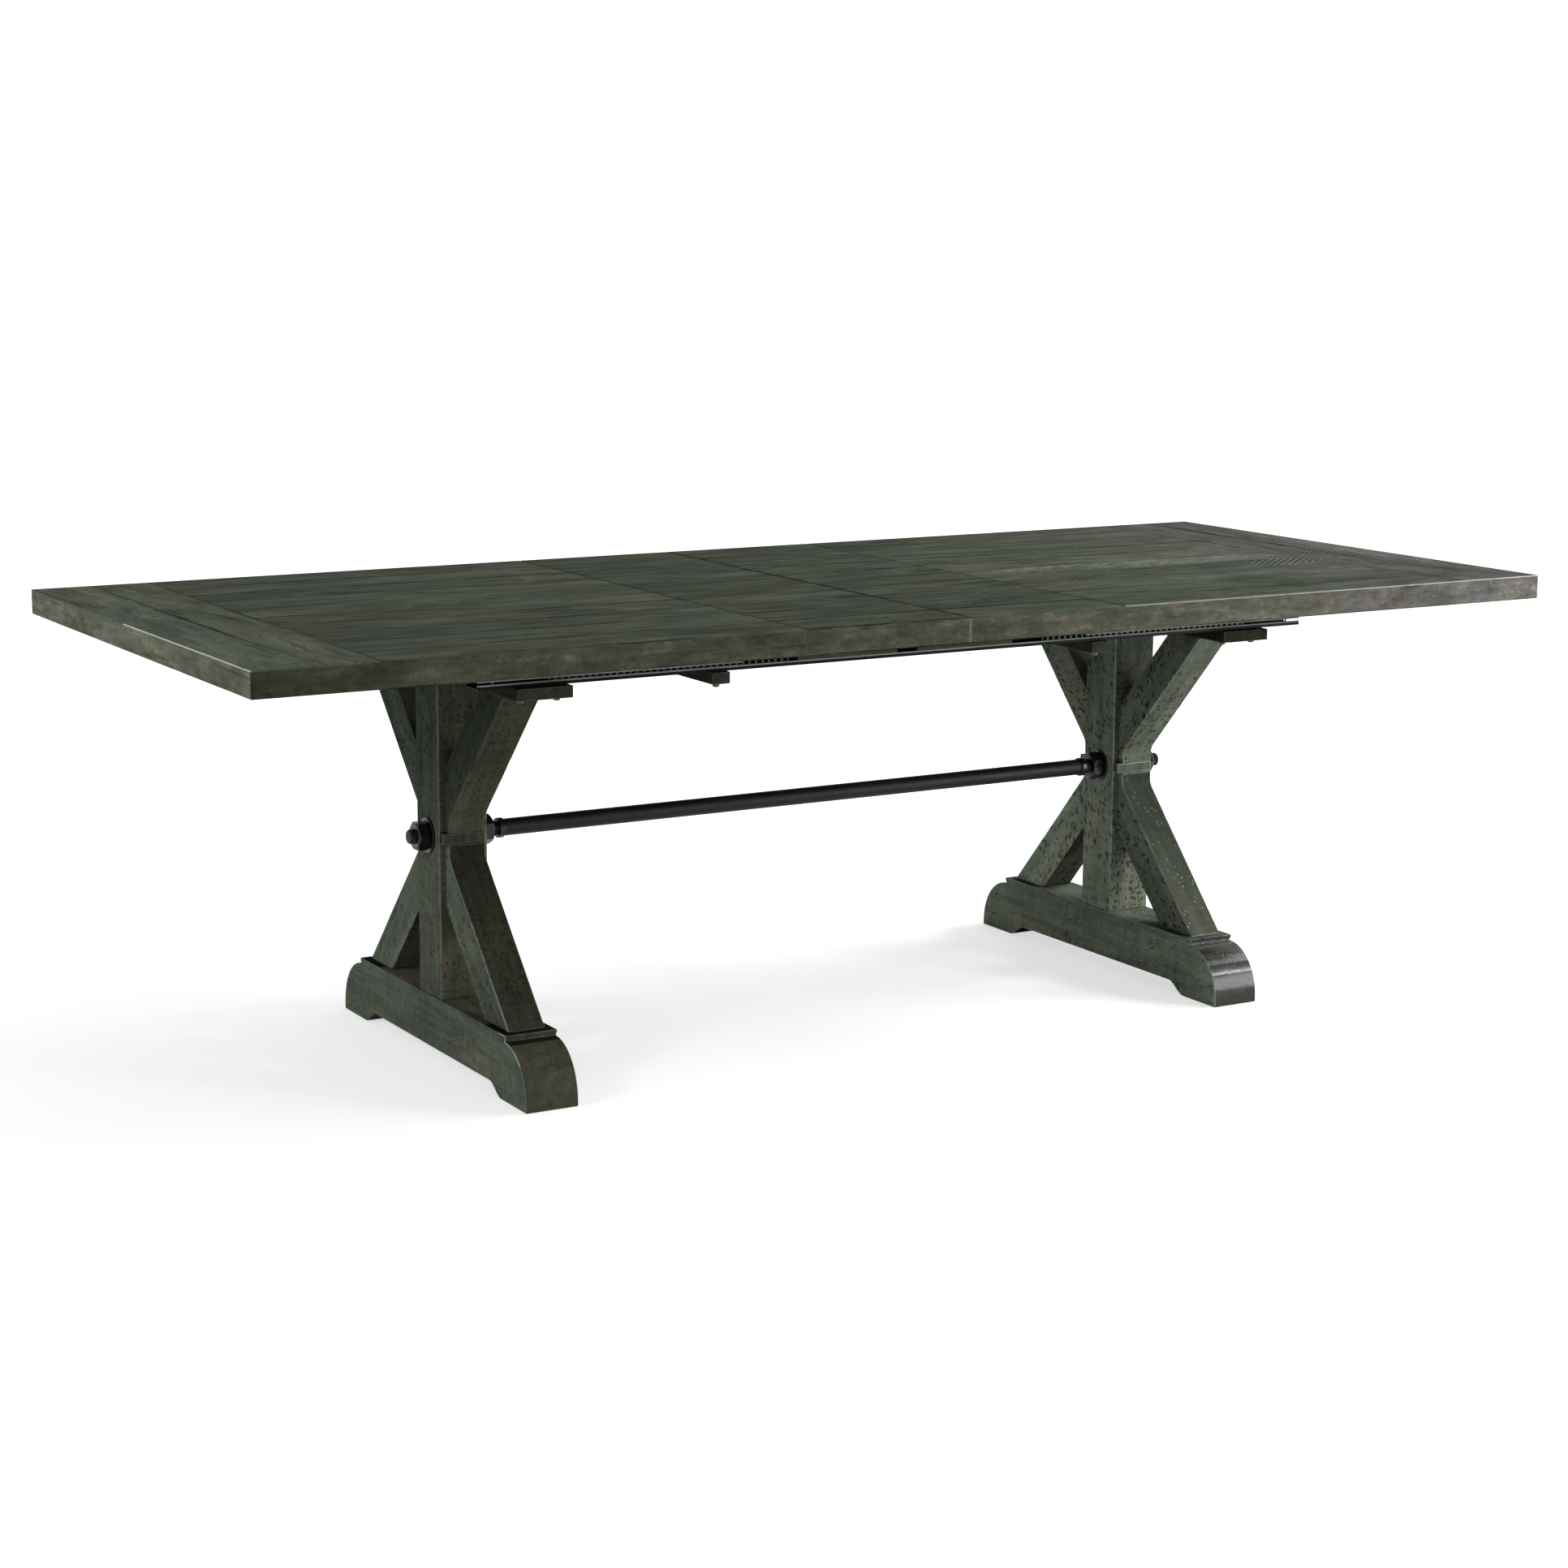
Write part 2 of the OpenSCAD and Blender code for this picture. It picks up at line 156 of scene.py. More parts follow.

# How light the stain is on a node, with painted light and shade in it: on its flat faces, then on its front,
# back and edges
STAIN_AND_SHADE_DEPTHS = {
    "left_outer_end_board": (1.32, 1.0), "left_planks": (0.92, 1.0), "leaf_left_planks": (0.80, 1.0),
    "leaf_right_planks": (0.77, 1.0), "right_planks": (0.82, 1.0), "left_inner_end_board": (1.10, 1.0),
    "right_inner_end_board": (0.73, 1.0), "right_outer_end_board": (0.73, 1.0),
    "foot_left": (2.15, 0.94), "foot_right": (2.90, 0.32),
    "post_left": (2.00, 1.42), "post_right": (3.35, 1.60),
    "lower_brace_left_front": (2.10, 0.50), "upper_brace_left_front": (1.30, 1.04),
    "lower_brace_left_back": (2.05, 0.53), "upper_brace_left_back": (2.30, 1.20),
    "lower_brace_right_front": (2.00, 0.70), "upper_brace_right_front": (2.50, 1.74),
    "lower_brace_right_back": (4.20, 0.66), "upper_brace_right_back": (3.70, 2.00),
    "collar_left_front": (0.95, 0.73), "collar_left_back": (0.95, 0.72),
    "collar_right_front": (1.20, 1.28), "collar_right_back": (1.10, 1.00),
    "top_beam_left": (0.90, 0.96), "top_beam_right": (0.75, 0.40),
    "cross_beam_left": (0.75, 0.84), "cross_beam_right": (0.75, 0.84),
}
# The same on faces that look right, with no painted light, and on the top's ends, where it is painted light
# from the left
FAR_DEPTH = 1.1
END_PAINTED_LIGHT = 2.2
# The same along the top's front and back, at places along the table: painted shade, darkest at the left end
FRONT_STAIN_AND_SHADE = [
    (-1.22, 0.46), (-0.98, 0.74), (-0.60, 0.80), (0.00, 0.80), (0.30, 0.86), (0.70, 1.04), (1.22, 0.94)]
# Its factor on the feet's upper faces, between the braces and on the ledges: painted light, lighter on the
# right foot and between the left foot's braces, and painted shade on the left foot's ledges
UPPER_PAINTED_LIGHT = {"foot_left": (1.40, 0.24), "foot_right": (5.6, 3.4)}
# By how much of itself it rises from a node's middle up to its top: painted light and shade that change with
# height
PAINTED_SHADE_RISES = {
    "lower_brace_left_front": (0.25, -0.22), "lower_brace_left_back": (-0.12, -0.20),
    "lower_brace_right_front": (0.18, -0.25), "lower_brace_right_back": (-0.10, -0.20),
    "upper_brace_right_front": (-0.22, 0.10), "post_left": (0.08, 0.07), "post_right": (-0.10, -0.28),
}
DENTED_NODE = "lower_brace_right_front"

# Places and targets of the lamps, their widths, and their settings in TableStudio
SOFTBOXES = (
    ("Key softbox", (2.35, -2.35, 0.75), (0.6, 0.0, 0.5), 1.0, "key_light"),
    ("Glint lamp", (2.5, -2.1, 1.7), (0.68, -0.37, 0.06), 0.34, "glint_light"),
    ("Right softbox", (3.4, -0.6, 2.2), (0.6, 0.0, 0.6), 1.6, "right_light"),
    ("Top softbox", (2.0, 1.0, 3.2), (0.8, 0.0, 0.7), 2.0, "top_light"),
    ("Left softbox", (-5.0, -0.8, 3.4), (-1.2, 0.0, 0.6), 1.8, "left_light"),
    ("Left glint lamp", (-5.0, -0.8, 3.4), (-0.73, -0.33, 0.09), 0.5, "left_glint"),
)

# The camera of the photograph, with its angles in degrees
PHOTO_PIXELS = 1932
CAMERA_PLACE = (-2.76693, -4.70445, 1.43491)
CAMERA_YAW = 30.07295
CAMERA_PITCH = -10.71148
CAMERA_ROLL = 0.30432
CAMERA_FOCUS_PIXELS = 3870.37
SENSOR = 36.0


# Sizes and colours that a user would change

def colour(name, description, default):
    return bpy.props.FloatVectorProperty(
        name=name, description=description, default=default, size=3, subtype="COLOR", min=0.0, max=1.0)


def length(name, description, default, most):
    return bpy.props.FloatProperty(
        name=name, description=description, default=default, min=0.0, max=most, subtype="DISTANCE",
        unit="LENGTH")


def power(name, description, default):
    return bpy.props.FloatProperty(name=name, description=description, default=default, min=0.0, unit="POWER")


class TableBoards(bpy.types.PropertyGroup):
    top_rounding: length("Top rounding", "Rounding of the outer edges of halves and leaves", 0.0018, 0.004)
    plank_rounding: length("Plank rounding", "Rounding of the planks along their seams", 0.0005, 0.001)
    trestle_rounding: length("Trestle rounding", "Rounding of the edges of the trestles", 0.0024, 0.004)
    nose_rounding: length("Nose rounding", "Rounding of the braces' noses beside the collars", 0.008, 0.010)
    beam_rounding: length("Beam rounding", "Rounding of the edges of beams and runners", 0.0012, 0.003)
    wear_depth: length("Wear depth", "How deep the wear goes into the edges", 0.0011, 0.003)
    wear_step: length("Wear step", "Length of the shortest worn stretch of an edge", 0.011, 0.05)


class TableStain(bpy.types.PropertyGroup):
    olive: colour("Olive", "Warm tone of the stain", (0.096, 0.102, 0.075))
    green: colour("Green", "Cool tone of the stain", (0.078, 0.094, 0.073))
    brown: colour("Brown", "Bare tone where the stain is thin", (0.097, 0.091, 0.062))
    # Grey is painted sheen, mixed into the top's front and upper face towards the right
    painted_sheen_grey: colour("Grey", "Greyer stain on the right of the top's rim", (0.104, 0.098, 0.100))
    ochre: colour("Ochre", "Light flecks on the edges of the top", (0.160, 0.142, 0.098))
    pit: colour("Pit", "Filler left in pits, cuts and seams", (0.006, 0.008, 0.007))
    # Pale is the colour of the dents and of the painted highlight on rounded edges
    pale: colour("Pale", "Worn edges and dents", (0.62, 0.63, 0.58))
    knot: colour("Knot", "Light wood round the knot in the left foot", (0.155, 0.145, 0.098))


class TableMetal(bpy.types.PropertyGroup):
    thread_pitch: length("Thread pitch", "Pitch of the tie rod's thread", 0.0032, 0.006)
    thread_depth: length("Thread depth", "Depth of the tie rod's thread", 0.0011, 0.002)
    nut_chamfer_circle: length("Nut face", "Diameter of the flat face of a nut", 0.0405, 0.045)
    black: colour("Black", "Satin paint of the tie rod", (0.0056, 0.0076, 0.0072))
    specks: colour("Specks", "Rubbed specks in the black paint", (0.06, 0.06, 0.055))
    rail: colour("Rail", "Dark plated steel of the slides", (0.008, 0.010, 0.009))
    # The rails' lips carry a painted highlight in this colour
    rail_lip_highlight: colour("Bright rail", "Rubbed upper edges of the slides", (0.135, 0.150, 0.138))
    zinc: colour("Zinc", "Bright plated steel of cages and screws", (0.060, 0.066, 0.060))
    ball: colour("Ball", "Oiled steel of the balls", (0.006, 0.007, 0.007))


class TableStudio(bpy.types.PropertyGroup):
    key_light: power("Key light", "Softbox low in front on the right", 40.0)
    glint_light: power("Glint light", "Small lamp in front on the right, for the glints on the feet", 17.0)
    right_light: power("Right light", "Softbox on the right", 112.0)
    top_light: power("Top light", "Softbox overhead on the right", 31.0)
    left_light: power("Left light", "Softbox high on the left", 12.0)
    left_glint: power("Left glint light", "Small lamp high on the left, for the glint on the left foot", 30.0)
    room: bpy.props.FloatProperty(
        name="Room light", description="Level of the light from all round", default=0.32, min=0.0, max=1.0)
    floor: colour("Floor", "Pale floor", (0.8, 0.8, 0.8))


# Materials

class Nodes:
    """A tree of shader nodes, put together node by node."""

    def __init__(self, tree):
        self.tree = tree

    def add(self, kind, inputs=None, output=0, **settings):
        node = self.tree.nodes.new("ShaderNode" + kind)
        for key, value in settings.items():
            setattr(node, key, value)
        for key, value in (inputs or {}).items():
            self.feed(node.inputs[key], value)
        return node.outputs[output]

    def feed(self, socket, value):
        if isinstance(value, bpy.types.NodeSocket):
            self.tree.links.new(value, socket)
        else:
            socket.default_value = value

    def attribute(self, name, output="Vector"):
        return self.add("Attribute", attribute_name=name, output=output)

    def place(self):
        return self.add("TexCoord", output="Object")

    def scaled(self, vector, factors):
        return self.add("VectorMath", {0: vector, 1: factors}, operation="MULTIPLY")

    def moved(self, vector, step):
        return self.add("VectorMath", {0: vector, 1: step})

    def turned(self, vector, angle):
        return self.add("Mapping", {"Vector": vector, "Rotation": (0.0, 0.0, math.radians(angle))})

    def size(self, vector):
        return self.add("VectorMath", {0: vector}, operation="LENGTH", output=1)

    def parts(self, vector):
        return self.add("SeparateXYZ", {"Vector": vector}).node.outputs

    def clouds(self, vector, factors, detail=3.0, roughness=0.5, distortion=0.0):
        """Noise from 0 to 1, with a number of clouds in a metre along each axis."""
        inputs = {"Vector": self.scaled(vector, factors), "Scale": 1.0, "Detail": detail,
                  "Roughness": roughness, "Distortion": distortion}
        return self.add("TexNoise", inputs)

    def math(self, operation, first, second=0.0, third=0.0):
        return self.add("Math", {0: first, 1: second, 2: third}, operation=operation)

    def span(self, value, low, high, start=0.0, end=1.0, how="SMOOTHSTEP"):
        """Goes softly from start, where the value is low, to end, where it is high."""
        inputs = {"Value": value, "From Min": low, "From Max": high, "To Min": start, "To Max": end}
        return self.add("MapRange", inputs, interpolation_type=how)

    def sweep(self, clouds, start, end, low=0.3, high=0.7):
        """Goes evenly from start to end over most of the range of clouds."""
        return self.span(clouds, low, high, start, end, "LINEAR")

    def folded(self, operation, values):
        total = values[0]
        for value in values[1:]:
            total = self.math(operation, total, value)
        return total

    def product(self, *values):
        return self.folded("MULTIPLY", values)

    def most(self, *values):
        return self.folded("MAXIMUM", values)

    def rest_of(self, value):
        return self.math("SUBTRACT", 1.0, value)

    def layered(self, *layers):
        """The sum of values, each with its share."""
        total = 0.0
        for value, share in layers:
            total = self.math("MULTIPLY_ADD", value, share, total)
        return total

    def mix(self, amount, first, second):
        return self.add("Mix", {0: amount, 6: first, 7: second}, output=2, data_type="RGBA")

    def dimmed(self, tone, factor):
        return self.add("VectorMath", {0: tone, "Scale": factor}, operation="SCALE")

    def bumped(self, height, distance):
        return self.add("Bump", {"Height": height, "Distance": distance, "Strength": 1.0})


class Recipe(Nodes):
    """One material."""

    def __init__(self, name):
        self.material = bpy.data.materials.new(name)
        self.material.use_nodes = True
        super().__init__(self.material.node_tree)
        self.shader = self.tree.nodes["Principled BSDF"]

    def finish(self, tone, roughness, normal, **fixed):
        self.feed(self.shader.inputs["Base Color"], tone)
        self.feed(self.shader.inputs["Roughness"], roughness)
        if normal is not None:
            self.feed(self.shader.inputs["Normal"], normal)
        for key, value in fixed.items():
            self.shader.inputs[key.replace("_", " ")].default_value = value
        return self.material


def opaque(values):
    return (*values, 1.0)


class Board(Recipe):
    """Stained wood that follows each board's own grain, as mark_boards stores it."""

    def __init__(self, name, stain):
        super().__init__(name)
        self.stain = stain
        self.grain = self.attribute("grain")
        self.wood = self.moved(self.grain, self.attribute("board"))
        self.spot = self.place()
        self.rim, self.tint, self.worn = (self.attribute(key, "Fac") for key in ("rim", "tint", "worn"))

    def grained(self, *settings):
        """Clouds along the grain."""
        return self.clouds(self.wood, *settings)

    def away(self, centre, factors):
        """Distance from a spot on the table, counted in that spot's own reach along each axis."""
        return self.size(self.scaled(self.moved(self.spot, [-value for value in centre]), factors))

    def dashes(self, shift, cell, stretch, angle, share, thick=0.30):
        """Short slanted dashes scattered over the wood, one in some of the cells of a given size."""
        slanted = self.turned(self.moved(self.wood, shift), angle)
        wobble = self.add("TexNoise", {"Vector": self.scaled(slanted, (60, 60, 60)), "Scale": 1.0}, output=1)
        bends = {0: wobble, 1: (0.008, 0.008, 0.008), 2: slanted}
        bent = self.add("VectorMath", bends, operation="MULTIPLY_ADD")
        factors = (1 / (cell * stretch), 1 / cell, 1 / cell)
        inputs = {"Vector": self.scaled(bent, factors), "Scale": 1.0, "Randomness": 1.0}
        cells = self.add("TexVoronoi", inputs).node
        chosen = self.math("GREATER_THAN", self.parts(cells.outputs["Color"])[0], 1.0 - share)
        return self.product(self.span(cells.outputs["Distance"], thick, thick * 0.6), chosen)

    def stained(self, amount, tone, name):
        """Mixes one of the stain's colours into a tone."""
        return self.mix(amount, tone, opaque(getattr(self.stain, name)))

    def base_tone(self, warm, browner):
        """Green stain, olive in warm clouds, and browner where it is thin."""
        return self.stained(browner, self.stained(warm, opaque(self.stain.green), "olive"), "brown")


class TopWood(Board):
    """Boards of the top, with saw marks and rubbed spots on the upper face and a browner rim."""

    def __init__(self, name, stain):
        super().__init__(name, stain)
        self.flat = self.math("LESS_THAN", self.rim, 0.1)
        self.front = self.math("GREATER_THAN", self.rim, 0.9)
        self.along = self.parts(self.spot)[0]
        self.streak = self.grained((4.5, 30, 30), 4.0, 0.6, 0.8)
        self.fine = self.grained((10, 110, 110), 3.0, 0.6, 0.5)
        self.fibre = self.grained((18, 620, 620), 2.0, 0.6)
        self.ragged = self.grained((22, 120, 120), 3.0, 0.6)
        self.cuts = self.grained((300, 14, 60), 2.0, 0.6)

    def tone(self):
        """The stain, with painted sheen greying it towards the right, and light flecks on the rim."""
        warm = self.span(self.grained((2.4, 7, 7), 4.0, 0.6, 0.6), 0.36, 0.66)
        bare = self.span(self.grained((4, 12, 12), 4.0, 0.6, 0.8), 0.54, 0.74, 0.0, 0.45)
        tone = self.base_tone(warm, self.most(bare, self.product(self.rim, 0.5)))
        # Painted sheen: greyer towards the right on the front and on the upper face
        sheen_front = self.product(self.front, self.span(self.along, 0.25, 1.1, 0.0, 0.8))
        sheen_flat = self.product(self.flat, self.span(self.along, 0.55, 1.2, 0.0, 0.45))
        tone = self.stained(self.most(sheen_front, sheen_flat), tone, "painted_sheen_grey")
        flecks = self.span(self.grained((34, 70, 70), 4.0, 0.7), 0.52, 0.68)
        return self.stained(self.product(self.rim, flecks, 0.75), tone, "ochre")

    def grain_shade(self):
        """Lighter and darker along the grain, from broad blotches to single fibres."""
        blotch = self.grained((5, 14, 14), 4.0, 0.62, 1.0)
        smear = self.grained((9, 26, 26), 4.0, 0.65, 1.2)
        dark_line = self.clouds(self.moved(self.wood, (4.0, 1.0, 2.0)), (3.6, 48, 48), 3.0, 0.55, 0.4)
        # The last factor is each board's random tone together with its painted light and shade.
        return self.product(
            self.sweep(self.streak, 0.84, 1.18), self.sweep(self.fine, 0.89, 1.12),
            self.sweep(self.fibre, 0.93, 1.07), self.sweep(blotch, 1.22, 0.76), self.sweep(smear, 1.20, 0.82),
            self.span(dark_line, 0.61, 0.69, 1.0, 0.62), self.tint)

    def seam_shade(self):
        """Darker along ragged seams and ends of boards, and most of all at the seam in the middle."""
        reach = self.add("VectorMath", {0: self.grain}, operation="ABSOLUTE")
        rest = self.add("VectorMath", {0: self.attribute("half"), 1: reach}, operation="SUBTRACT")
        from_end, from_side, _ = self.parts(rest)
        seam = self.span(self.math("DIVIDE", from_side, self.sweep(self.ragged, 0.0025, 0.0110)), 1.0, 0.0)
        seam_depth = self.span(self.grained((2.4, 5, 5), 2.0), 0.42, 0.58, 0.08, 0.80)
        end_reach = self.sweep(self.grained((9, 34, 34), 3.0), 0.002, 0.014)
        end = self.span(self.math("DIVIDE", from_end, end_reach), 1.0, 0.0)
        in_middle = self.math("LESS_THAN", self.math("ABSOLUTE", self.along), 0.05)
        dark_side = self.product(seam, seam_depth)
        dark_end = self.product(end, self.math("MULTIPLY_ADD", in_middle, 0.34, 0.24))
        return self.product(self.rest_of(dark_side), self.rest_of(dark_end))

    def saw_marks(self):
        """Patches of slightly curved saw marks on the upper face."""
        ragged = self.sweep(self.clouds(self.spot, (14, 60, 0), 2.0), -0.25, 0.25)
        marks = 0.0
        for x, y, long, wide, angle, pitch, strength in SAW_PATCHES:
            reach = self.math("ADD", self.away((x, y, 0), (1 / long, 1 / wide, 0)), ragged)
            inputs = {"Vector": self.turned(self.spot, angle), "Scale": 1.0 / pitch / WAVES_PER_METRE,
                      "Distortion": 1.4, "Detail": 1.0, "Detail Scale": 12.0}
            ridges = self.span(self.add("TexWave", inputs, output=1), 0.35, 0.65, -strength, strength)
            marks = self.math("ADD", marks, self.product(self.span(reach, 1.1, 0.6), ridges))
        return self.product(marks, self.flat)

    def rubbed_light(self):
        """Light specks in a row, a rubbed right end, and nicks on the right of the front."""
        specks = self.grained((50, 170, 170), 3.0, 0.7)
        row = self.span(self.away((0.66, -0.035, 0), (2.6, 19, 0)), 1.05, 0.55)
        row = self.product(row, self.span(specks, 0.46, 0.60), self.flat)
        end_reach = self.ragged_away((1.20, -0.06, 0), (22, 3.0, 0))
        end = self.product(self.span(end_reach, 1.1, 0.6), self.flat, 0.45)
        nicks = self.product(
            self.front, self.span(self.along, 0.80, 1.05), self.span(specks, 0.57, 0.66), 0.5)
        return self.most(row, end, nicks)

    def ragged_away(self, centre, factors):
        return self.math("ADD", self.away(centre, factors), self.sweep(self.ragged, -0.3, 0.3))

    def smudge(self):
        """A darker smudge on the right half."""
        return self.product(self.span(self.ragged_away((0.73, -0.355, 0), (14, 11, 0)), 1.1, 0.5), self.flat)

    def rim_shade(self):
        """Saw cuts and mottling on the rim only."""
        mottle = self.grained((26, 60, 60), 4.0, 0.65, 0.5)
        shade = self.product(self.sweep(self.cuts, 0.90, 1.10), self.sweep(mottle, 0.74, 1.26))
        return self.add("Mix", {0: self.math("CEIL", self.rim), 2: 1.0, 3: shade})

    def make(self, gloss, sheen):
        marks = self.saw_marks()
        shade = self.product(
            self.grain_shade(), self.seam_shade(),
            self.math("MULTIPLY_ADD", marks, 0.95, 1.05),
            self.math("MULTIPLY_ADD", self.rubbed_light(), 1.1, 1.0),
            self.math("MULTIPLY_ADD", self.smudge(), -0.22, 1.0),
            self.rim_shade())
        pitted = self.product(self.dashes((0, 0, 0), 0.011, 2.4, 14, 0.30), self.flat,
                              self.span(self.grained((3, 10, 10), 2.0), 0.48, 0.62))
        tone = self.dimmed(self.tone(), shade)
        tone = self.stained(self.product(pitted, 0.6), tone, "pit")
        # Painted highlight on the rounded edges, as pale stain
        tone = self.stained(self.product(self.worn, self.span(self.ragged, 0.24, 0.46)), tone, "pale")
        height = self.layered((self.streak, 0.4), (self.fine, 0.3), (self.fibre, 0.2), (pitted, -0.6),
                              (marks, 0.6), (self.cuts, self.product(self.rim, 0.4)))
        rough = self.sweep(self.streak, sheen, sheen + 0.12)
        return self.finish(tone, rough, self.bumped(height, TOP_RELIEF), Specular_IOR_Level=gloss)


class TrestleWood(Board):
    """Wood of the trestles and beams, with filled pits, pale dents and a knot in the left foot."""

    def tone(self):
        warm = self.span(self.grained((3.5, 12, 12), 4.0, 0.55, 0.6), 0.46, 0.70)
        bare = self.span(self.grained((6, 18, 18), 4.0, 0.6, 0.6), 0.58, 0.76, 0.0, 0.35)
        # Browner on the sides by the rim value; on the left trestle this is painted warm shade as well as thin
        # stain.
        tone = self.base_tone(warm, self.math("MULTIPLY_ADD", self.rim, 0.75, bare))
        bends = self.span(self.clouds(self.spot, (30, 30, 30), 2.0), 0.3, 0.7, -0.15, 0.15)
        wavy = self.math("ADD", self.away((-0.726, -0.2112, 0.0502), (12, 9, 42)), bends)
        rings = self.span(self.math("SINE", self.product(wavy, 9.0)), -1.0, 1.0, 0.35, 1.0)
        return self.stained(self.product(self.span(wavy, 1.15, 0.75), rings, 0.45), tone, "knot")

    def pitting(self, dents):
        """Pits of three kinds, or small specks on a dented piece, in some places more than in others."""
        long_pits = self.dashes((0, 0, 0), 0.0064, 3.6, 26, 0.56, 0.38)
        small_pits = self.dashes((3.3, 1.7, 0.9), 0.0062, 1.8, -8, 0.32, 0.32)
        slashes = self.dashes((1.3, 4.7, 2.9), 0.0056, 3.8, 40, 0.50, 0.38)
        specks = self.dashes((2.6, 0.4, 5.2), 0.0066, 1.3, 0, 0.40, 0.30)
        slashed = self.span(self.clouds(self.moved(self.wood, (6.1, 2.2, 3.8)), (7, 14, 14), 2.0), 0.48, 0.56)
        pitted = self.most(self.product(slashes, slashed), long_pits, small_pits)
        pitted = self.math("MULTIPLY_ADD", self.math("SUBTRACT", specks, pitted), dents, pitted)
        patchy = self.span(self.grained((5.5, 11, 11), 2.0), 0.36, 0.52, 0.30, 1.0)
        spots = self.span(self.clouds(self.spot, (22, 22, 22), 2.0), 0.46, 0.52)
        spots = self.most(self.rest_of(dents), spots)
        return self.product(pitted, patchy, self.attribute("pitted", "Fac"), spots)

    def make(self, gloss, sheen, level, relief=TRESTLE_RELIEF):
        streak = self.grained((4.5, 60, 60), 4.0, 0.6, 0.5)
        fibre = self.grained((14, 420, 420), 3.0, 0.6)
        blotch = self.grained((9, 16, 16), 4.0, 0.6, 0.3)
        cross = self.grained((150, 16, 16), 3.0, 0.65)
        # The shade darkens upwards from 0.30 m to 0.56 m, which is painted shade under the top; the last two
        # factors are the boards' random tone with their painted light and shade, and the material's level.
        shade = self.product(
            self.sweep(streak, 0.80, 1.22, 0.32, 0.68), self.sweep(fibre, 0.90, 1.10),
            self.sweep(blotch, 0.82, 1.14, 0.34, 0.66), self.sweep(cross, 0.88, 1.12, 0.34, 0.66),
            self.span(self.parts(self.spot)[2], 0.30, 0.56, 1.08, 0.72), self.tint, level)
        dents = self.attribute("dents", "Fac")
        pitted = self.pitting(dents)
        filler = self.stained(dents, opaque(self.stain.pit), "pale")
        tone = self.dimmed(self.tone(), shade)
        tone = self.mix(self.product(pitted, self.span(dents, 0.0, 1.0, 0.92, 0.40)), tone, filler)
        ragged = self.grained((30, 120, 120), 2.0, 0.6)
        # Painted highlight on the rounded edges, as pale stain
        tone = self.stained(self.product(self.worn, self.span(ragged, 0.30, 0.55)), tone, "pale")
        height = self.layered((streak, 0.4), (fibre, 0.3), (cross, 0.5), (pitted, -0.9))
        rough = self.sweep(cross, sheen, sheen + 0.10)
        return self.finish(tone, rough, self.bumped(height, relief), Specular_IOR_Level=gloss)


def plated_steel(name, tone, scratch, grain, roughness, metallic, gloss=0.5, lip_highlight=None, lip_highlight_from=0.0):
    """Drawn or plated steel with fine scratches, and, if a colour is given, a painted highlight above a height,
    stronger towards the left.
    """
    recipe = Recipe(name)
    place = recipe.place()
    cloud = recipe.clouds(place, (9, 24, 24), 3.0, 0.6)
    lines = recipe.clouds(place, grain, 3.0, 0.7)
    shade = recipe.product(recipe.span(cloud, 0.35, 0.65, 0.85, 1.12),
                           recipe.sweep(lines, 1.0 - scratch, 1.0 + scratch))
    if lip_highlight is not None:
        along, _, height = recipe.parts(place)
        above = recipe.span(height, lip_highlight_from, lip_highlight_from + 0.0004)
        # Painted highlight on the lip, fading from the left towards the right
        rubbed = recipe.dimmed(lip_highlight, recipe.span(along, -0.05, 0.60, 1.55, 0.7))
        tone = recipe.mix(above, opaque(tone), rubbed)
    rough = recipe.sweep(lines, roughness - 0.08, roughness + 0.10)
    return recipe.finish(recipe.dimmed(tone, shade), rough, recipe.bumped(lines, STEEL_RELIEF),
                         Metallic=metallic, Specular_IOR_Level=gloss)


def black_paint(metal, name, roughness, gloss):
    """Black paint on steel, slightly uneven, with a few rubbed specks."""
    recipe = Recipe(name)
    place = recipe.place()
    peel = recipe.clouds(place, (420, 420, 420), 2.0, 0.5)
    cloud = recipe.clouds(place, (16, 60, 60), 3.0, 0.6)
    speck = recipe.span(recipe.clouds(place, (180, 240, 240), 2.0, 0.6), 0.66, 0.74)
    black = recipe.dimmed(metal.black, recipe.span(cloud, 0.35, 0.65, 0.85, 1.20))
    tone = recipe.mix(recipe.product(speck, 0.4), black, opaque(metal.specks))
    rough = recipe.sweep(cloud, roughness - 0.06, roughness + 0.06)
    return recipe.finish(tone, rough, recipe.bumped(peel, PAINT_RELIEF), Specular_IOR_Level=gloss)


# Boards

def merged_copy(node):
    """A copy of a CAD node's mesh, with its flat faces whole."""
    shape = bmesh.new()
    shape.from_mesh(frame["nodes"][node].data)
    bmesh.ops.remove_doubles(shape, verts=shape.verts, dist=MERGE)
    bmesh.ops.dissolve_limit(shape, angle_limit=FLAT_ANGLE, verts=shape.verts, edges=shape.edges)
    return shape


def islands(shape):
    """The separate bodies of a shape, as lists of their corners."""
    seen = set()
    found = []
    for first in shape.verts:
        if first in seen:
            continue
        seen.add(first)
        body = [first]
        for corner in body:
            for edge in corner.link_edges:
                other = edge.other_vert(corner)
                if other not in seen:
                    seen.add(other)
                    body.append(other)
        found.append(body)
    return found


def grain_direction(shape):
    """The direction of the longest edge, which is that of the grain."""
    longest = max(shape.edges, key=lambda edge: round(edge.calc_length(), 6))
    direction = (longest.verts[1].co - longest.verts[0].co).normalized()
    lead = max(direction, key=abs)
    return direction if lead > 0 else -direction


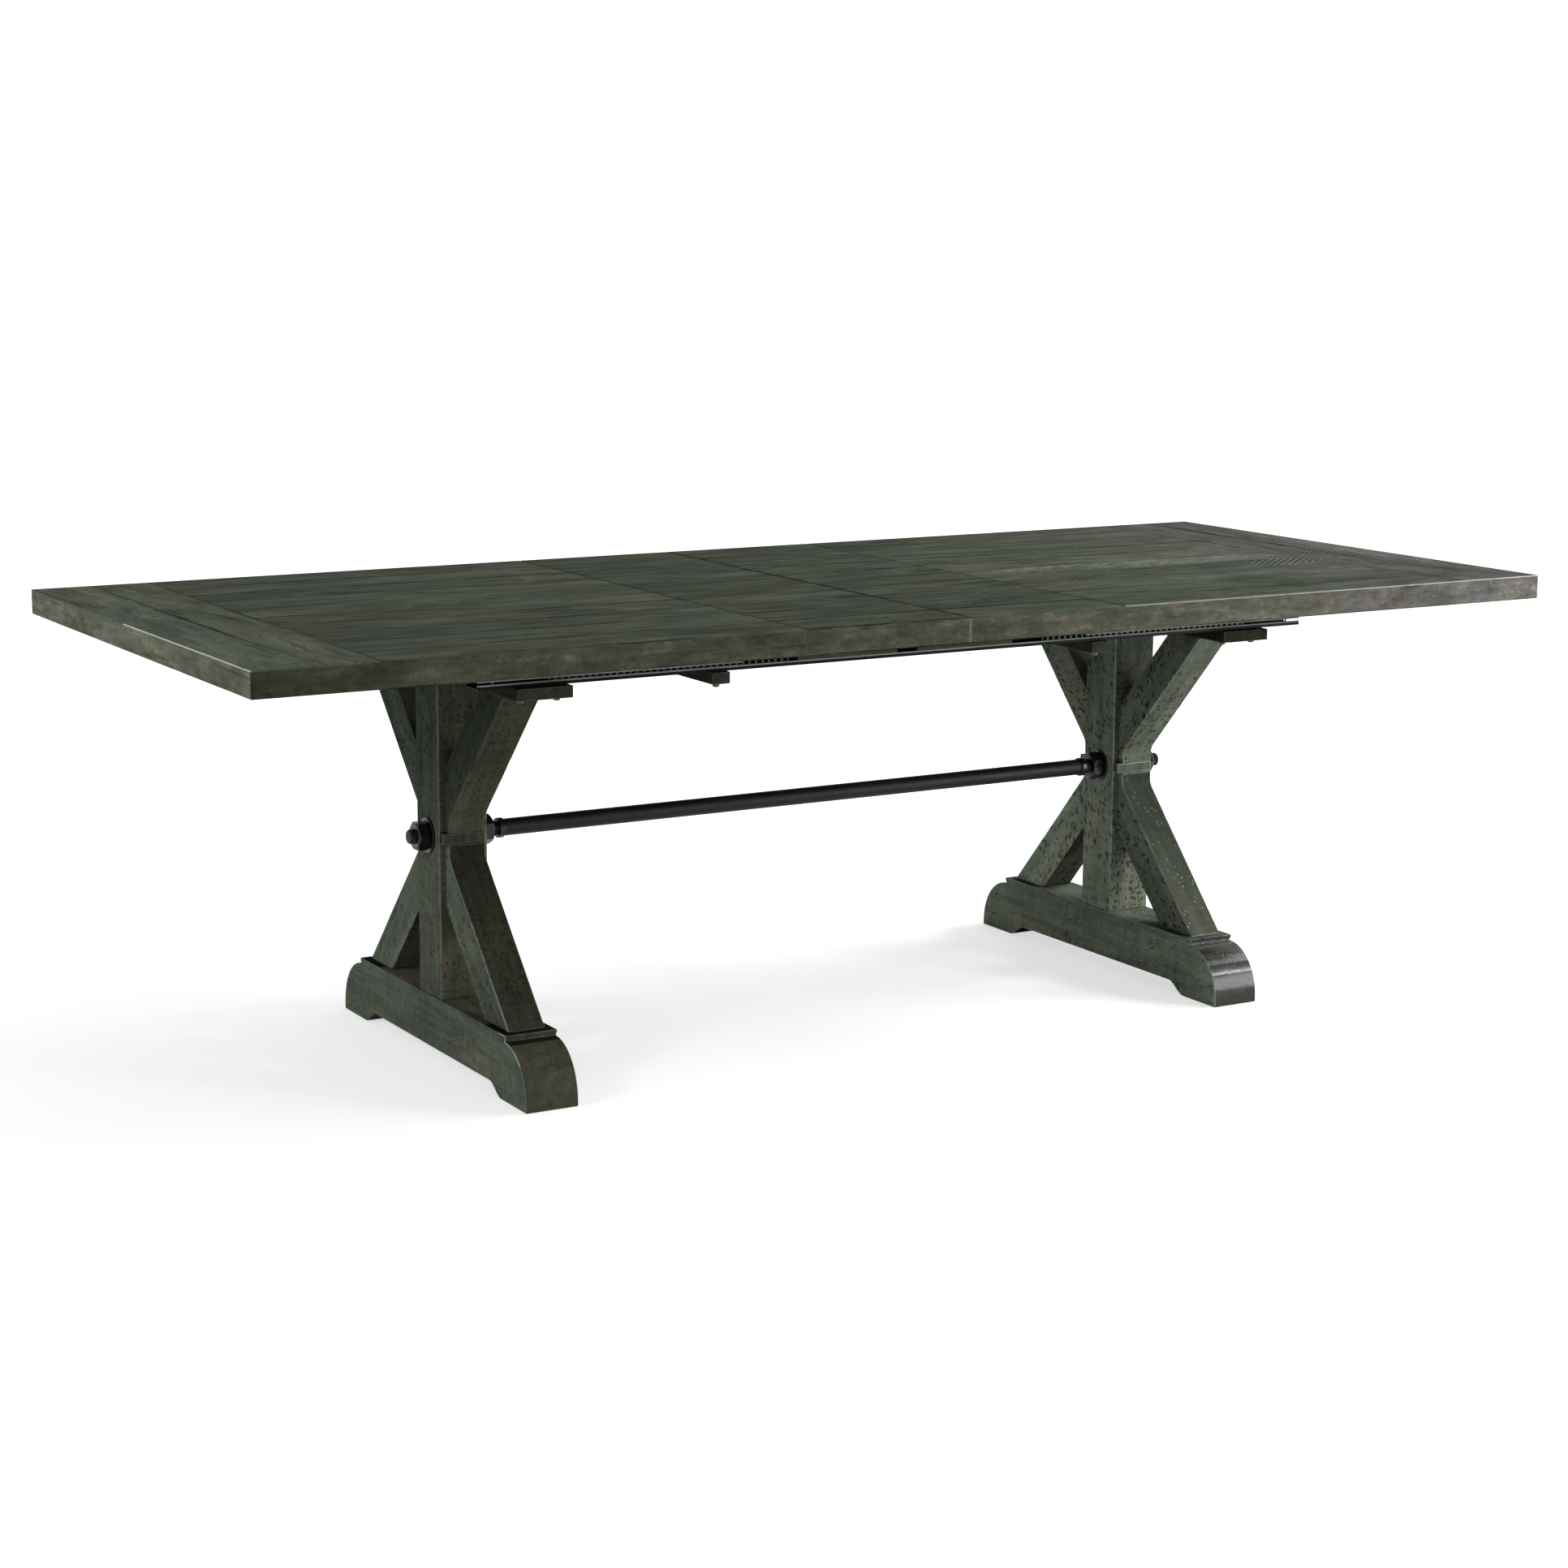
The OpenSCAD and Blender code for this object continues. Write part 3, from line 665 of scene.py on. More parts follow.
def round_edges(shape, marks, rounding, wanted, segments=3):
    """Rounds the wanted sharp edges and marks their new faces."""
    edges = [edge for edge in shape.edges if wanted(edge)]
    if not edges:
        return
    made = bmesh.ops.bevel(
        shape, geom=edges, offset=rounding, offset_type="OFFSET", segments=segments, profile=0.5,
        affect="EDGES", material=-1, clamp_overlap=True)
    for face in made["faces"]:
        face[marks] = 1


def middle_of(edge):
    return (edge.verts[0].co + edge.verts[1].co) / 2


def is_sharp(edge):
    return edge.calc_face_angle(0.0) > ROUND_ANGLE


def cut_rows(shape, along, step):
    """Cuts a shape across its grain into short lengths."""
    places = [along.dot(corner.co) for corner in shape.verts]
    low, high = min(places), max(places)
    count = max(1, round((high - low) / step))
    for i in range(1, count):
        spot = along * (low + (high - low) * i / count)
        geometry = shape.verts[:] + shape.edges[:] + shape.faces[:]
        bmesh.ops.bisect_plane(shape, geom=geometry, dist=MERGE, plane_co=spot, plane_no=along)


def wear_edges(shape, marks, depth, seed):
    """Pushes the rounded edges in, here and there, as long wear and small dents do."""
    shape.normal_update()
    moves = []
    for corner in shape.verts:
        worn = [face for face in corner.link_faces if face[marks]]
        if not worn or len(worn) < len(corner.link_faces):
            continue
        spot = corner.co + Vector((seed, seed * 2, seed * 3))
        long_wear = LONG_WEAR * (noise.noise(spot * LONG_WEAR_PER_METRE) * 0.5 + 0.5)
        dent = max(0.0, noise.noise(spot * DENTS_PER_METRE) - DENT_FROM) * DENT_GAIN
        moves.append((corner, corner.normal * -depth * min(1.0, long_wear + dent)))
    for corner, move in moves:
        corner.co += move


def front_stain_and_shade(x):
    """How light the stain is on the front and back of the top at a place along it, with painted shade darker
    towards the left.
    """
    for (start, low), (end, high) in zip(FRONT_STAIN_AND_SHADE, FRONT_STAIN_AND_SHADE[1:]):
        if x <= end:
            share = max(0.0, (x - start) / (end - start))
            return low + (high - low) * share
    return FRONT_STAIN_AND_SHADE[-1][1]


def stain_and_shade_depth(node, normal, spot, side):
    """How light the stain is at one place of a board, with painted light and shade by node, face and height."""
    on_side = 1 if side > 0.5 else 0
    depth = STAIN_AND_SHADE_DEPTHS.get(node, (1.0, 1.0))[on_side]
    if normal.x > 0.5 and not on_side:
        depth = FAR_DEPTH
    if node in PAINTED_SHADE_RISES:
        low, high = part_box(node)
        height = 2 * (spot.z - low.z) / (high.z - low.z) - 1
        depth *= 1 + height * PAINTED_SHADE_RISES[node][on_side]
    if node in UPPER_PAINTED_LIGHT and normal.z > UPRIGHT:
        depth *= UPPER_PAINTED_LIGHT[node][1 if abs(spot.y) > LEDGE_FROM else 0]
    return depth


def brown_and_shade_share(node):
    """How brown the sides of a node's boards are, as thin stain; the browner sides of the left trestle are
    painted warm shade.
    """
    if node in TRESTLE_NODES:
        return 0.25 if "right" in node else 1.0
    if node in BEAM_NODES:
        return 0.0 if node.startswith("cross") else 0.8
    return 1.0


def pit_share(node):
    """How strongly the pits show on a node."""
    if node not in TRESTLE_NODES:
        return 0.3
    if "collar" in node:
        return 0.15
    share = 0.90 if "right" in node else 0.55
    return share * 0.6 if "foot" in node else share


def mark_boards(shape, node, along, marks, side_of, glint_at):
    """Stores on every face where it lies in its board's own grain, how light its stain is with painted light
    and shade, and its painted highlight.
    """
    through = Vector((1, 0, 0)) if node in TRESTLE_NODES else Vector((0, 0, 1))
    axes = (along, through.cross(along).normalized(), through)
    layers = shape.loops.layers
    places, halves, shifts = [layers.float_vector.new(name) for name in ("grain", "half", "board")]
    rims, tint_and_shade_layer, wear_and_glint_layer, dented, pitted = [
        layers.float.new(name) for name in ("rim", "tint", "worn", "dents", "pitted")]
    shape.normal_update()
    for number, board in enumerate(islands(shape)):
        chance = random.Random(f"{node} {number}")
        shift = Vector(chance.uniform(-NOISE_SPREAD, NOISE_SPREAD) for _ in range(3))
        shade = chance.uniform(0.90, 1.10)
        spans = [[axis.dot(corner.co) for corner in board] for axis in axes]
        middle = Vector((max(values) + min(values)) / 2 for values in spans)
        half = Vector((max(values) - min(values)) / 2 for values in spans)
        for face in {face for corner in board for face in corner.link_faces}:
            side = side_of(face.normal)
            # The painted highlight of a rounded face
            worn = glint_at(face.calc_center_median()) if face[marks] else 0.0
            for loop in face.loops:
                spot = loop.vert.co
                loop[places] = Vector(axis.dot(spot) for axis in axes) - middle
                loop[halves] = half
                loop[shifts] = shift
                loop[rims] = side * brown_and_shade_share(node)
                # The stain's depth holds painted light and shade for the node, face and height, times the
                # board's random tone
                loop[tint_and_shade_layer] = shade * stain_and_shade_depth(node, face.normal, spot, side)
                loop[wear_and_glint_layer] = worn
                loop[dented] = 1.0 if node == DENTED_NODE and side > 0.5 else 0.0
                loop[pitted] = pit_share(node)
                # On the top's rim the painted shade runs along the front, and the ends are painted lighter
                if node in TOP_NODES and side > 0.1:
                    loop[places] = spot if side > 0.5 else spot.yxz
                    loop[halves] = WHOLE
                    loop[shifts] = RIM_SHIFT
                    loop[tint_and_shade_layer] = front_stain_and_shade(spot.x) if side > 0.5 else END_PAINTED_LIGHT


def to_piece(shape, node, materials):
    """Makes a piece of a shape, which stands for a CAD node and moves with it."""
    mesh = bpy.data.meshes.new(f"{node}_seen")
    for face in shape.faces:
        face.smooth = True
    for edge in shape.edges:
        edge.smooth = edge.calc_face_angle(0.0) < SHARP_ANGLE
    shape.to_mesh(mesh)
    shape.free()
    for material in materials:
        mesh.materials.append(material)
    piece = bpy.data.objects.new(f"{node}_seen", mesh)
    bpy.context.scene.collection.objects.link(piece)
    normals = piece.modifiers.new("Flat faces", "WEIGHTED_NORMAL")
    normals.mode = "FACE_AREA"
    normals.weight = 100
    normals.keep_sharp = True
    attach(piece, frame["nodes"][node]["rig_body"])
    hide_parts(node)


def start_boards(node):
    """A copy of a node's boards, the direction of their grain, and the marks of their rounded faces."""
    shape = merged_copy(node)
    return shape, grain_direction(shape), shape.faces.layers.int.new("rounded")


def wear_boards(shape, node, along, marks, rounding):
    boards = bpy.context.scene.table_boards
    cut_rows(shape, along, boards.wear_step)
    wear_edges(shape, marks, min(boards.wear_depth, rounding * MOST_WEAR), len(node))


def side_of_top(normal):
    """1 on the front and back of the top, less on its ends, 0 on flat faces."""
    if abs(normal.z) > 0.5:
        return 0.0
    return 1.0 if abs(normal.y) > abs(normal.x) else 0.35


def top_piece(node, materials):
    boards = bpy.context.scene.table_boards
    shape, along, marks = start_boards(node)
    half_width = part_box("left_outer_end_board")[1].y
    ends = [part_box(panel[end])[end].x for panel in PANELS for end in (0, 1)]
    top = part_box(node)[1].z

    def on_front(spot):
        return abs(abs(spot.y) - half_width) < NEAR

    def on_end(spot):
        return min(abs(spot.x - end) for end in ends) < NEAR

    def is_outer(edge):
        spot = middle_of(edge)
        line = edge.verts[1].co - edge.verts[0].co
        if abs(line.z) > abs(line.x) + abs(line.y):
            return on_front(spot) and on_end(spot)
        return on_front(spot) if abs(line.x) > abs(line.y) else on_end(spot)

    def is_inner(edge):
        return not is_outer(edge) and middle_of(edge).z > top - NEAR

    round_edges(shape, marks, boards.top_rounding, lambda edge: is_sharp(edge) and is_outer(edge))
    seams = shape.faces.layers.int.new("inner")
    round_edges(shape, seams, boards.plank_rounding, lambda edge: is_sharp(edge) and is_inner(edge), 2)
    wear_boards(shape, node, along, marks, boards.top_rounding)
    for face in shape.faces:
        face.material_index = 1 if face[marks] and top_glint(face.calc_center_median()) > SHINE_FROM else 0
    mark_boards(shape, node, along, marks, side_of_top, top_glint)
    to_piece(shape, node, materials)


def top_glint(spot):
    """How strongly the rounded edges of the top carry a painted highlight, as pale stain: most on the left
    end's upper edge.
    """
    low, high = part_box("left_outer_end_board")
    on_upper = spot.z > high.z - EDGE
    if spot.x < low.x + EDGE and on_upper:
        return 0.95 if spot.y < GLINT_END_TO else 0.15
    if spot.y >= low.y + EDGE:
        return 0.0
    if on_upper:
        return 0.03 if spot.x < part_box("right_planks")[0].x else 0.19
    if spot.z <= low.z + EDGE or abs(spot.x) >= SEAMS_WITHIN:
        return 0.0
    if abs(spot.x) < MIDDLE_SEAM:
        return 0.24
    return 0.09 if spot.x < 0 else 0.11


def trestle_piece(node, materials, rounding, shortest):
    shape, along, marks = start_boards(node)
    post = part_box("post_left")[1].y
    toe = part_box(node)[1].y - TOE_LENGTH

    def is_nose(edge):
        reach = abs(middle_of(edge).y) - post
        angle = edge.calc_face_angle(0.0)
        return "brace" in node and NOSE_FROM < reach < NOSE_TO and NOSE_ANGLES[0] < angle < NOSE_ANGLES[1]

    def is_glossy(face):
        spot = face.calc_center_median()
        if node == "foot_right" and abs(face.normal.x) < 0.5 and abs(spot.y) > toe:
            return True
        dull = "upper" in node or node == "foot_left" and spot.y > GLINT_TO
        return face[marks] and not dull

    round_edges(shape, marks, bpy.context.scene.table_boards.nose_rounding, is_nose, 5)
    for face in shape.faces:
        face[marks] = 0
    round_edges(shape, marks, rounding, lambda edge: is_sharp(edge) and edge.calc_length() > shortest)
    wear_boards(shape, node, along, marks, rounding)
    shape.normal_update()
    for face in shape.faces:
        face.material_index = 1 if is_glossy(face) else 0
    mark_boards(shape, node, along, marks, lambda normal: 0.0 if abs(normal.x) > 0.5 else 1.0,
                lambda spot: trestle_glint(node, spot))
    to_piece(shape, node, materials)


def trestle_glint(node, spot):
    """How strongly the rounded edges of the trestles carry a painted highlight, as pale stain: most on the left
    foot's toe, more on the right trestle.
    """
    if node == "foot_left" and spot.y < TOE_FROM and spot.z > TOE_ABOVE and spot.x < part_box(node)[0].x + EDGE:
        return 0.9
    if node.startswith("collar_right"):
        return 0.24
    return 0.15 if "right" in node else 0.08


def beam_piece(node, materials, rounding):
    shape, along, marks = start_boards(node)
    round_edges(shape, marks, rounding, lambda edge: is_sharp(edge) and edge.calc_length() > SHORT_EDGE)
    wear_boards(shape, node, along, marks, rounding)
    # The rounded edges of the beams carry a faint painted highlight
    mark_boards(shape, node, along, marks, lambda normal: 1.0, lambda spot: 0.1)
    to_piece(shape, node, materials)


# Tie rod

ROD_END = 0.01
ROD_CHAMFER = 0.0018
ROD_SIDES = 48
THREAD_STEPS = 6
NUT_SIDES = 72
NUT_STEPS = 7
NUT_STEP = 0.0006
NUT_CORNER = 0.005
NUT_CHAMFER_ANGLE = math.radians(60)
BORE_CHAMFER = 0.001
RING_SIDES = 64
RING_ROUNDING = 0.0015
WASHER_ROUNDING = 0.0009


def side_span(node, side):
    """Lowest and highest place of the part of a CAD node on one side of the table's middle."""
    places = [corner.co.x for corner in frame["nodes"][node].data.vertices if corner.co.x * side > 0]
    return min(places), max(places)


def rod_axis():
    low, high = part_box("tie_rod")
    return (low + high) / 2


def turn_profile(shape, profile, closed, steps):
    """Turns a profile of places along X and radii round the X axis, and gives the new corners."""
    before = set(shape.verts)
    points = [shape.verts.new((x, 0.0, radius)) for x, radius in profile]
    pairs = list(zip(points, points[1:]))
    if closed:
        pairs.append((points[-1], points[0]))
    edges = [shape.edges.new(pair) for pair in pairs]
    bmesh.ops.spin(shape, geom=points + edges, cent=(0, 0, 0), axis=(1, 0, 0), dvec=(0, 0, 0),
                   angle=math.tau, steps=steps, use_merge=True, use_duplicate=False)
    made = [corner for corner in shape.verts if corner not in before]
    bmesh.ops.remove_doubles(shape, verts=made, dist=MERGE / 10)
    return [corner for corner in shape.verts if corner not in before]


def set_radius(corner, radius):
    reach = math.hypot(corner.co.y, corner.co.z)
    corner.co.y *= radius / reach
    corner.co.z *= radius / reach


def thread(corners, start, end, radius, pitch, depth):
    """Cuts a screw thread into the corners of a cylinder between two places along it."""
    for corner in corners:
        reach = math.hypot(corner.co.y, corner.co.z)
        if start < corner.co.x < end and abs(reach - radius) < MERGE:
            turn = math.atan2(corner.co.y, corner.co.z) / math.tau
            phase = (corner.co.x / pitch - turn) % 1.0
            set_radius(corner, radius - depth * abs(2.0 * phase - 1.0))


def rows(start, end, step):
    count = max(1, math.ceil((end - start) / step))
    return [start + (end - start) * i / count for i in range(count + 1)]


def rod_piece(node, shape, material):
    """Finishes a turned piece: it goes from the X axis to the rod's axis."""
    bmesh.ops.recalc_face_normals(shape, faces=shape.faces)
    axis = rod_axis()
    bmesh.ops.translate(shape, verts=shape.verts, vec=(0.0, axis.y, axis.z))
    to_piece(shape, node, [material])


def tie_rod_piece(material, metal):
    """The rod with chamfered ends, and threads between and outside the nuts."""
    low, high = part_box("tie_rod")
    thread_radius = max(
        math.hypot(corner.co.y, corner.co.z - rod_axis().z)
        for corner in frame["nodes"]["tie_rod"].data.vertices if corner.co.x < low.x + ROD_END)
    rod_radius = (high.z - low.z) / 2
    rod_end = side_span("rod_rings", 1)[0]
    chamfer = ROD_CHAMFER
    step = metal.thread_pitch / THREAD_STEPS
    stretches = [
        (low.x + chamfer, side_span("rod_outer_nuts", -1)[0]),
        (side_span("rod_inner_nuts", -1)[1], -side_span("rod_rings", 1)[1]),
        (side_span("rod_rings", 1)[1], side_span("rod_inner_nuts", 1)[0]),
        (side_span("rod_outer_nuts", 1)[1], high.x - chamfer),
    ]
    profile = [(low.x, 0.0), (low.x, thread_radius - chamfer), (low.x + chamfer, thread_radius)]
    for start, end in stretches[:2]:
        profile += [(x, thread_radius) for x in rows(start, end, step)[1:]]
    profile += [(-rod_end, thread_radius), (-rod_end, rod_radius - chamfer), (-rod_end + chamfer, rod_radius)]
    profile += [(rod_end - chamfer, rod_radius), (rod_end, rod_radius - chamfer), (rod_end, thread_radius)]
    for start, end in stretches[2:]:
        profile += [(x, thread_radius) for x in rows(start, end, step)]
    profile += [(high.x, thread_radius - chamfer), (high.x, 0.0)]
    shape = bmesh.new()
    corners = turn_profile(shape, profile, False, ROD_SIDES)
    for start, end in stretches:
        thread(corners, start, end, thread_radius, metal.thread_pitch, metal.thread_depth)
    rod_piece("tie_rod", shape, material)


def nut_radius(turn, flats):
    """Distance of a six-sided nut's side from its axis, in a direction given from a flat's middle."""
    return flats / 2 / math.cos((turn + math.pi / 6) % (math.pi / 3) - math.pi / 6)


def nut_pieces(node, material, metal):
    """Two chamfered six-sided nuts, one on each side."""
    low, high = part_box(node)
    tall, wide = high.z - low.z, high.y - low.y
    flats = min(tall, wide)
    corner_radius = max(tall, wide) / 2
    first_flat = 0.0 if tall < wide else math.pi / 6
    face = metal.nut_chamfer_circle / 2
    bore = side_bore(node)
    half = [(BORE_CHAMFER, bore), (0.0, bore + BORE_CHAMFER), (0.0, face)]
    half += [(NUT_STEP * i, corner_radius) for i in range(1, NUT_STEPS + 1)] + [(NUT_CORNER, corner_radius)]
    shape = bmesh.new()
    for side in (-1, 1):
        start, end = side_span(node, side)
        outline = [(start + rise, radius) for rise, radius in half]
        outline += [(end - rise, radius) for rise, radius in reversed(half)]
        for corner in turn_profile(shape, outline, True, NUT_SIDES):
            reach = math.hypot(corner.co.y, corner.co.z)
            if reach > face + MERGE:
                turn = math.atan2(corner.co.y, corner.co.z) - first_flat
                from_face = min(corner.co.x - start, end - corner.co.x)
                chamfered = face + from_face * math.tan(NUT_CHAMFER_ANGLE)
                set_radius(corner, min(nut_radius(turn, flats), chamfered))
    rod_piece(node, shape, material)


def side_bore(node):
    """Radius of the bore of the nuts, rings or washers on the rod."""
    axis = rod_axis()
    return min(math.hypot(corner.co.y, corner.co.z - axis.z)
               for corner in frame["nodes"][node].data.vertices)


def ring_outline(start, end, bore, outer, rounding):
    """Profile of a flat ring with rounded outer edges."""
    arc = [math.radians(angle) for angle in (0, 22.5, 45, 67.5, 90)]
    steps = [(rounding * (1 - math.sin(angle)), outer - rounding * (1 - math.cos(angle))) for angle in arc]
    low = [(start + inset, radius) for inset, radius in reversed(steps)]
    high = [(end - inset, radius) for inset, radius in steps]
    return [(start, bore), *low, *high, (end, bore)]


def ring_pieces(node, material, spans, rounding):
    low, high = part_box(node)
    outer = (high.z - low.z) / 2
    shape = bmesh.new()
    for start, end in spans:
        outline = ring_outline(start, end, side_bore(node), outer, rounding)
        turn_profile(shape, outline, True, RING_SIDES)
    rod_piece(node, shape, material)


# Screws

UPRIGHT_TURN = Matrix(((0, 1, 0, 0), (0, 0, 1, 0), (1, 0, 0, 0), (0, 0, 0, 1)))
SCREW_SIDES = 24
SCREW_HEAD = 0.00575
SCREW_SHANK = 0.0025
SCREW_TIP = 0.004
RECESS = 0.0026
RECESS_WALL = 0.0012
RECESS_DEPTH = 0.0016
# Between the arms of the cross in the recess: where they begin, and how far in the corners come
ARMS_FROM = 0.8
BETWEEN_ARMS = 0.35
# The rounding of the head: how far down from the seat, and how wide, as shares of the head
HEAD_ROUNDING = ((0.72, 1.0), (0.92, 0.92), (1.0, 0.78))


def screw_places(node):
    """Middle of each screw of a CAD node, seen from above."""
    shape = merged_copy(node)
    places = []
    for body in islands(shape):
        middle = sum((corner.co for corner in body), Vector()) / len(body)
        places.append((round(middle.x, 5), round(middle.y, 5)))
    shape.free()
    return sorted(places)


def beam_screw_piece(material):
    """Round-headed screws with a cross recess, driven up into the slides."""
    low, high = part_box("beam_screws")
    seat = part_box("top_beam_left")[0].z
    rise = seat - low.z
    profile = [(high.z, 0.0), (high.z, SCREW_SHANK * 0.4), (high.z - SCREW_TIP, SCREW_SHANK)]
    profile += [(seat, SCREW_SHANK), (seat, SCREW_HEAD)]
    profile += [(seat - rise * down, SCREW_HEAD * wide) for down, wide in HEAD_ROUNDING]
    profile += [(low.z, RECESS), (low.z + RECESS_WALL, RECESS * 0.6), (low.z + RECESS_DEPTH, 0.0)]
    shape = bmesh.new()
    for x, y in screw_places("beam_screws"):
        corners = turn_profile(shape, profile, False, SCREW_SIDES)
        for corner in corners:
            reach = math.hypot(corner.co.y, corner.co.z)
            turn = math.atan2(corner.co.y, corner.co.z)
            on_arm = abs(math.cos(2 * turn)) > ARMS_FROM
            if MERGE < reach < RECESS + MERGE and corner.co.x < seat and not on_arm:
                set_radius(corner, reach * BETWEEN_ARMS)
        bmesh.ops.transform(shape, matrix=Matrix.Translation((x, y, 0.0)) @ UPRIGHT_TURN, verts=corners)
    bmesh.ops.recalc_face_normals(shape, faces=shape.faces)
    to_piece(shape, "beam_screws", [material])


# Height of the lips of the lower rails, which carry a painted highlight
RAIL_LIP = 0.0026


# Operators

class TABLE_OT_top(bpy.types.Operator):
    """Builds the planks and end boards of the halves and leaves"""
    bl_idname = "table.build_top"
    bl_label = "Build the Top"

    def execute(self, context):
        stain = context.scene.table_stain
        materials = [TopWood("Stained top boards", stain).make(0.0, 0.60),
                     TopWood("Rubbed top edges", stain).make(0.40, 0.30)]
        for node in TOP_NODES:
            top_piece(node, materials)
        return {"FINISHED"}


class TABLE_OT_trestles(bpy.types.Operator):
    """Builds the feet, posts, braces and collars of both trestles"""
    bl_idname = "table.build_trestles"
    bl_label = "Build the Trestles"

    def execute(self, context):
        stain = context.scene.table_stain
        rounding = context.scene.table_boards.trestle_rounding
        materials = [TrestleWood("Stained trestle wood", stain).make(0.0, 0.50, 0.92),
                     TrestleWood("Polished trestle wood", stain).make(0.22, 0.13, 0.80, POLISHED_RELIEF)]
        for node in TRESTLE_NODES:
            trestle_piece(node, materials, rounding, SHORT_POST_EDGE if node.startswith("post") else 0.0)
        return {"FINISHED"}


class TABLE_OT_beams(bpy.types.Operator):
    """Builds the beams, runners and bearers under the top"""
    bl_idname = "table.build_beams"
    bl_label = "Build Beams and Runners"

    def execute(self, context):
        material = TrestleWood("Dark beam wood", context.scene.table_stain).make(0.0, 0.50, 0.95)
        for node in BEAM_NODES:
            beam_piece(node, [material], context.scene.table_boards.beam_rounding)
        return {"FINISHED"}


class TABLE_OT_tie_rod(bpy.types.Operator):
    """Turns the tie rod with its thread, rings, nuts and washers"""
    bl_idname = "table.build_tie_rod"
    bl_label = "Build the Tie Rod"

    def execute(self, context):
        metal = context.scene.table_metal
        satin = black_paint(metal, "Satin black paint", 0.50, 0.20)
        material = black_paint(metal, "Polished black paint", 0.30, 0.32)
        tie_rod_piece(satin, metal)
        nut_pieces("rod_inner_nuts", material, metal)
        nut_pieces("rod_outer_nuts", material, metal)
        ring_pieces("rod_rings", material, [side_span("rod_rings", side) for side in (-1, 1)], RING_ROUNDING)
        washers = []
        for side in SIDES:
            low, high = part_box(f"post_{side}")
            start, end = side_span("rod_washers", -1 if side == "left" else 1)
            washers += [(start, low.x), (high.x, end)]
        ring_pieces("rod_washers", material, washers, WASHER_ROUNDING)
        return {"FINISHED"}


class TABLE_OT_slides(bpy.types.Operator):
    """Finishes the rails, ball cages and balls of the slides"""
    bl_idname = "table.finish_slides"
    bl_label = "Finish the Slides"

    def execute(self, context):
        metal = context.scene.table_metal
        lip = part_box("lower_rail_front")[1].z - RAIL_LIP
        rail = plated_steel("Dark rail steel", metal.rail, 0.25, (4, 700, 700), 0.40, 0.15, 0.03,
                            metal.rail_lip_highlight, lip)
        cage = plated_steel("Bright cage steel", metal.zinc, 0.10, (6, 500, 500), 0.50, 0.4, 0.2)
        ball = plated_steel("Ball steel", metal.ball, 0.04, (300, 300, 300), 0.20, 1.0)
        for slot, material in (("rail_steel", rail), ("cage_steel", cage), ("ball_steel", ball)):
            paint_nodes(nodes_in(slot), material)
        return {"FINISHED"}


class TABLE_OT_screws(bpy.types.Operator):
    """Builds the beam screws and finishes the small screws and stop pins"""
    bl_idname = "table.build_screws"
    bl_label = "Build the Screws"

    def execute(self, context):
        metal = context.scene.table_metal
        material = plated_steel("Zinc screw steel", metal.zinc, 0.12, (260, 260, 260), 0.42, 0.6)
        beam_screw_piece(material)
        paint_nodes([node for node in nodes_in("screw_steel") if node != "beam_screws"], material)
        return {"FINISHED"}


def paint_nodes(nodes, material):
    """Gives CAD nodes that stay in view their finish."""
    for node in nodes:
        mesh = frame["nodes"][node].data
        mesh.materials.clear()
        mesh.materials.append(material)


class TABLE_OT_studio(bpy.types.Operator):
    """Sets up the floor, room, softboxes and camera"""
    bl_idname = "table.build_studio"
    bl_label = "Build the Studio"

    def execute(self, context):
        studio = context.scene.table_studio
        pale_floor(studio)
        pale_room(studio)
        for name, place, target, width, setting in SOFTBOXES:
            softbox(name, place, target, width, getattr(studio, setting))
        photo_camera()
        context.scene.view_settings.view_transform = "Standard"
        return {"FINISHED"}


# Studio

def seen_directly(nodes):
    """1 for rays from the camera and for what glossy and clear surfaces show, 0 for the light of the room."""
    path = nodes.add("LightPath").node.outputs
    return nodes.most(*(path[f"Is {kind} Ray"] for kind in ("Camera", "Glossy", "Transmission")))


def pale_floor(studio):
    """A floor that carries shadows, and that shows itself as white, a little less so near the table."""
    shape = bmesh.new()
    bmesh.ops.create_grid(shape, x_segments=2, y_segments=2, size=FLOOR_REACH)
    bmesh.ops.translate(shape, verts=shape.verts, vec=(0.0, 0.0, -FLOOR_GAP))
    mesh = bpy.data.meshes.new("Floor")
    shape.to_mesh(mesh)
    shape.free()
    floor = bpy.data.objects.new("Floor", mesh)
    bpy.context.scene.collection.objects.link(floor)
    recipe = Recipe("Pale floor")
    recipe.finish(opaque(studio.floor), 0.9, None, Specular_IOR_Level=0.0)
    glow = recipe.span(recipe.size(recipe.place()), 1.0, 5.0, 0.62, 1.0)
    white = recipe.add("Emission", {"Strength": recipe.product(glow, seen_directly(recipe))})
    both = recipe.add("AddShader", {0: recipe.shader.outputs[0], 1: white})
    recipe.feed(recipe.tree.nodes["Material Output"].inputs[0], both)
    mesh.materials.append(recipe.material)


def pale_room(studio):
    """A room that lights the table evenly, and that shows itself as white."""
    world = bpy.data.worlds.new("Pale room")
    bpy.context.scene.world = world
    world.use_nodes = True
    nodes = Nodes(world.node_tree)
    lit = nodes.tree.nodes["Background"]
    nodes.feed(lit.inputs["Color"], opaque(WHITE))
    nodes.feed(lit.inputs["Strength"], studio.room)
    white = nodes.add("Background", {"Color": opaque(WHITE)})
    mixed = nodes.add("MixShader", {0: seen_directly(nodes), 1: lit.outputs[0], 2: white})
    nodes.feed(nodes.tree.nodes["World Output"].inputs[0], mixed)


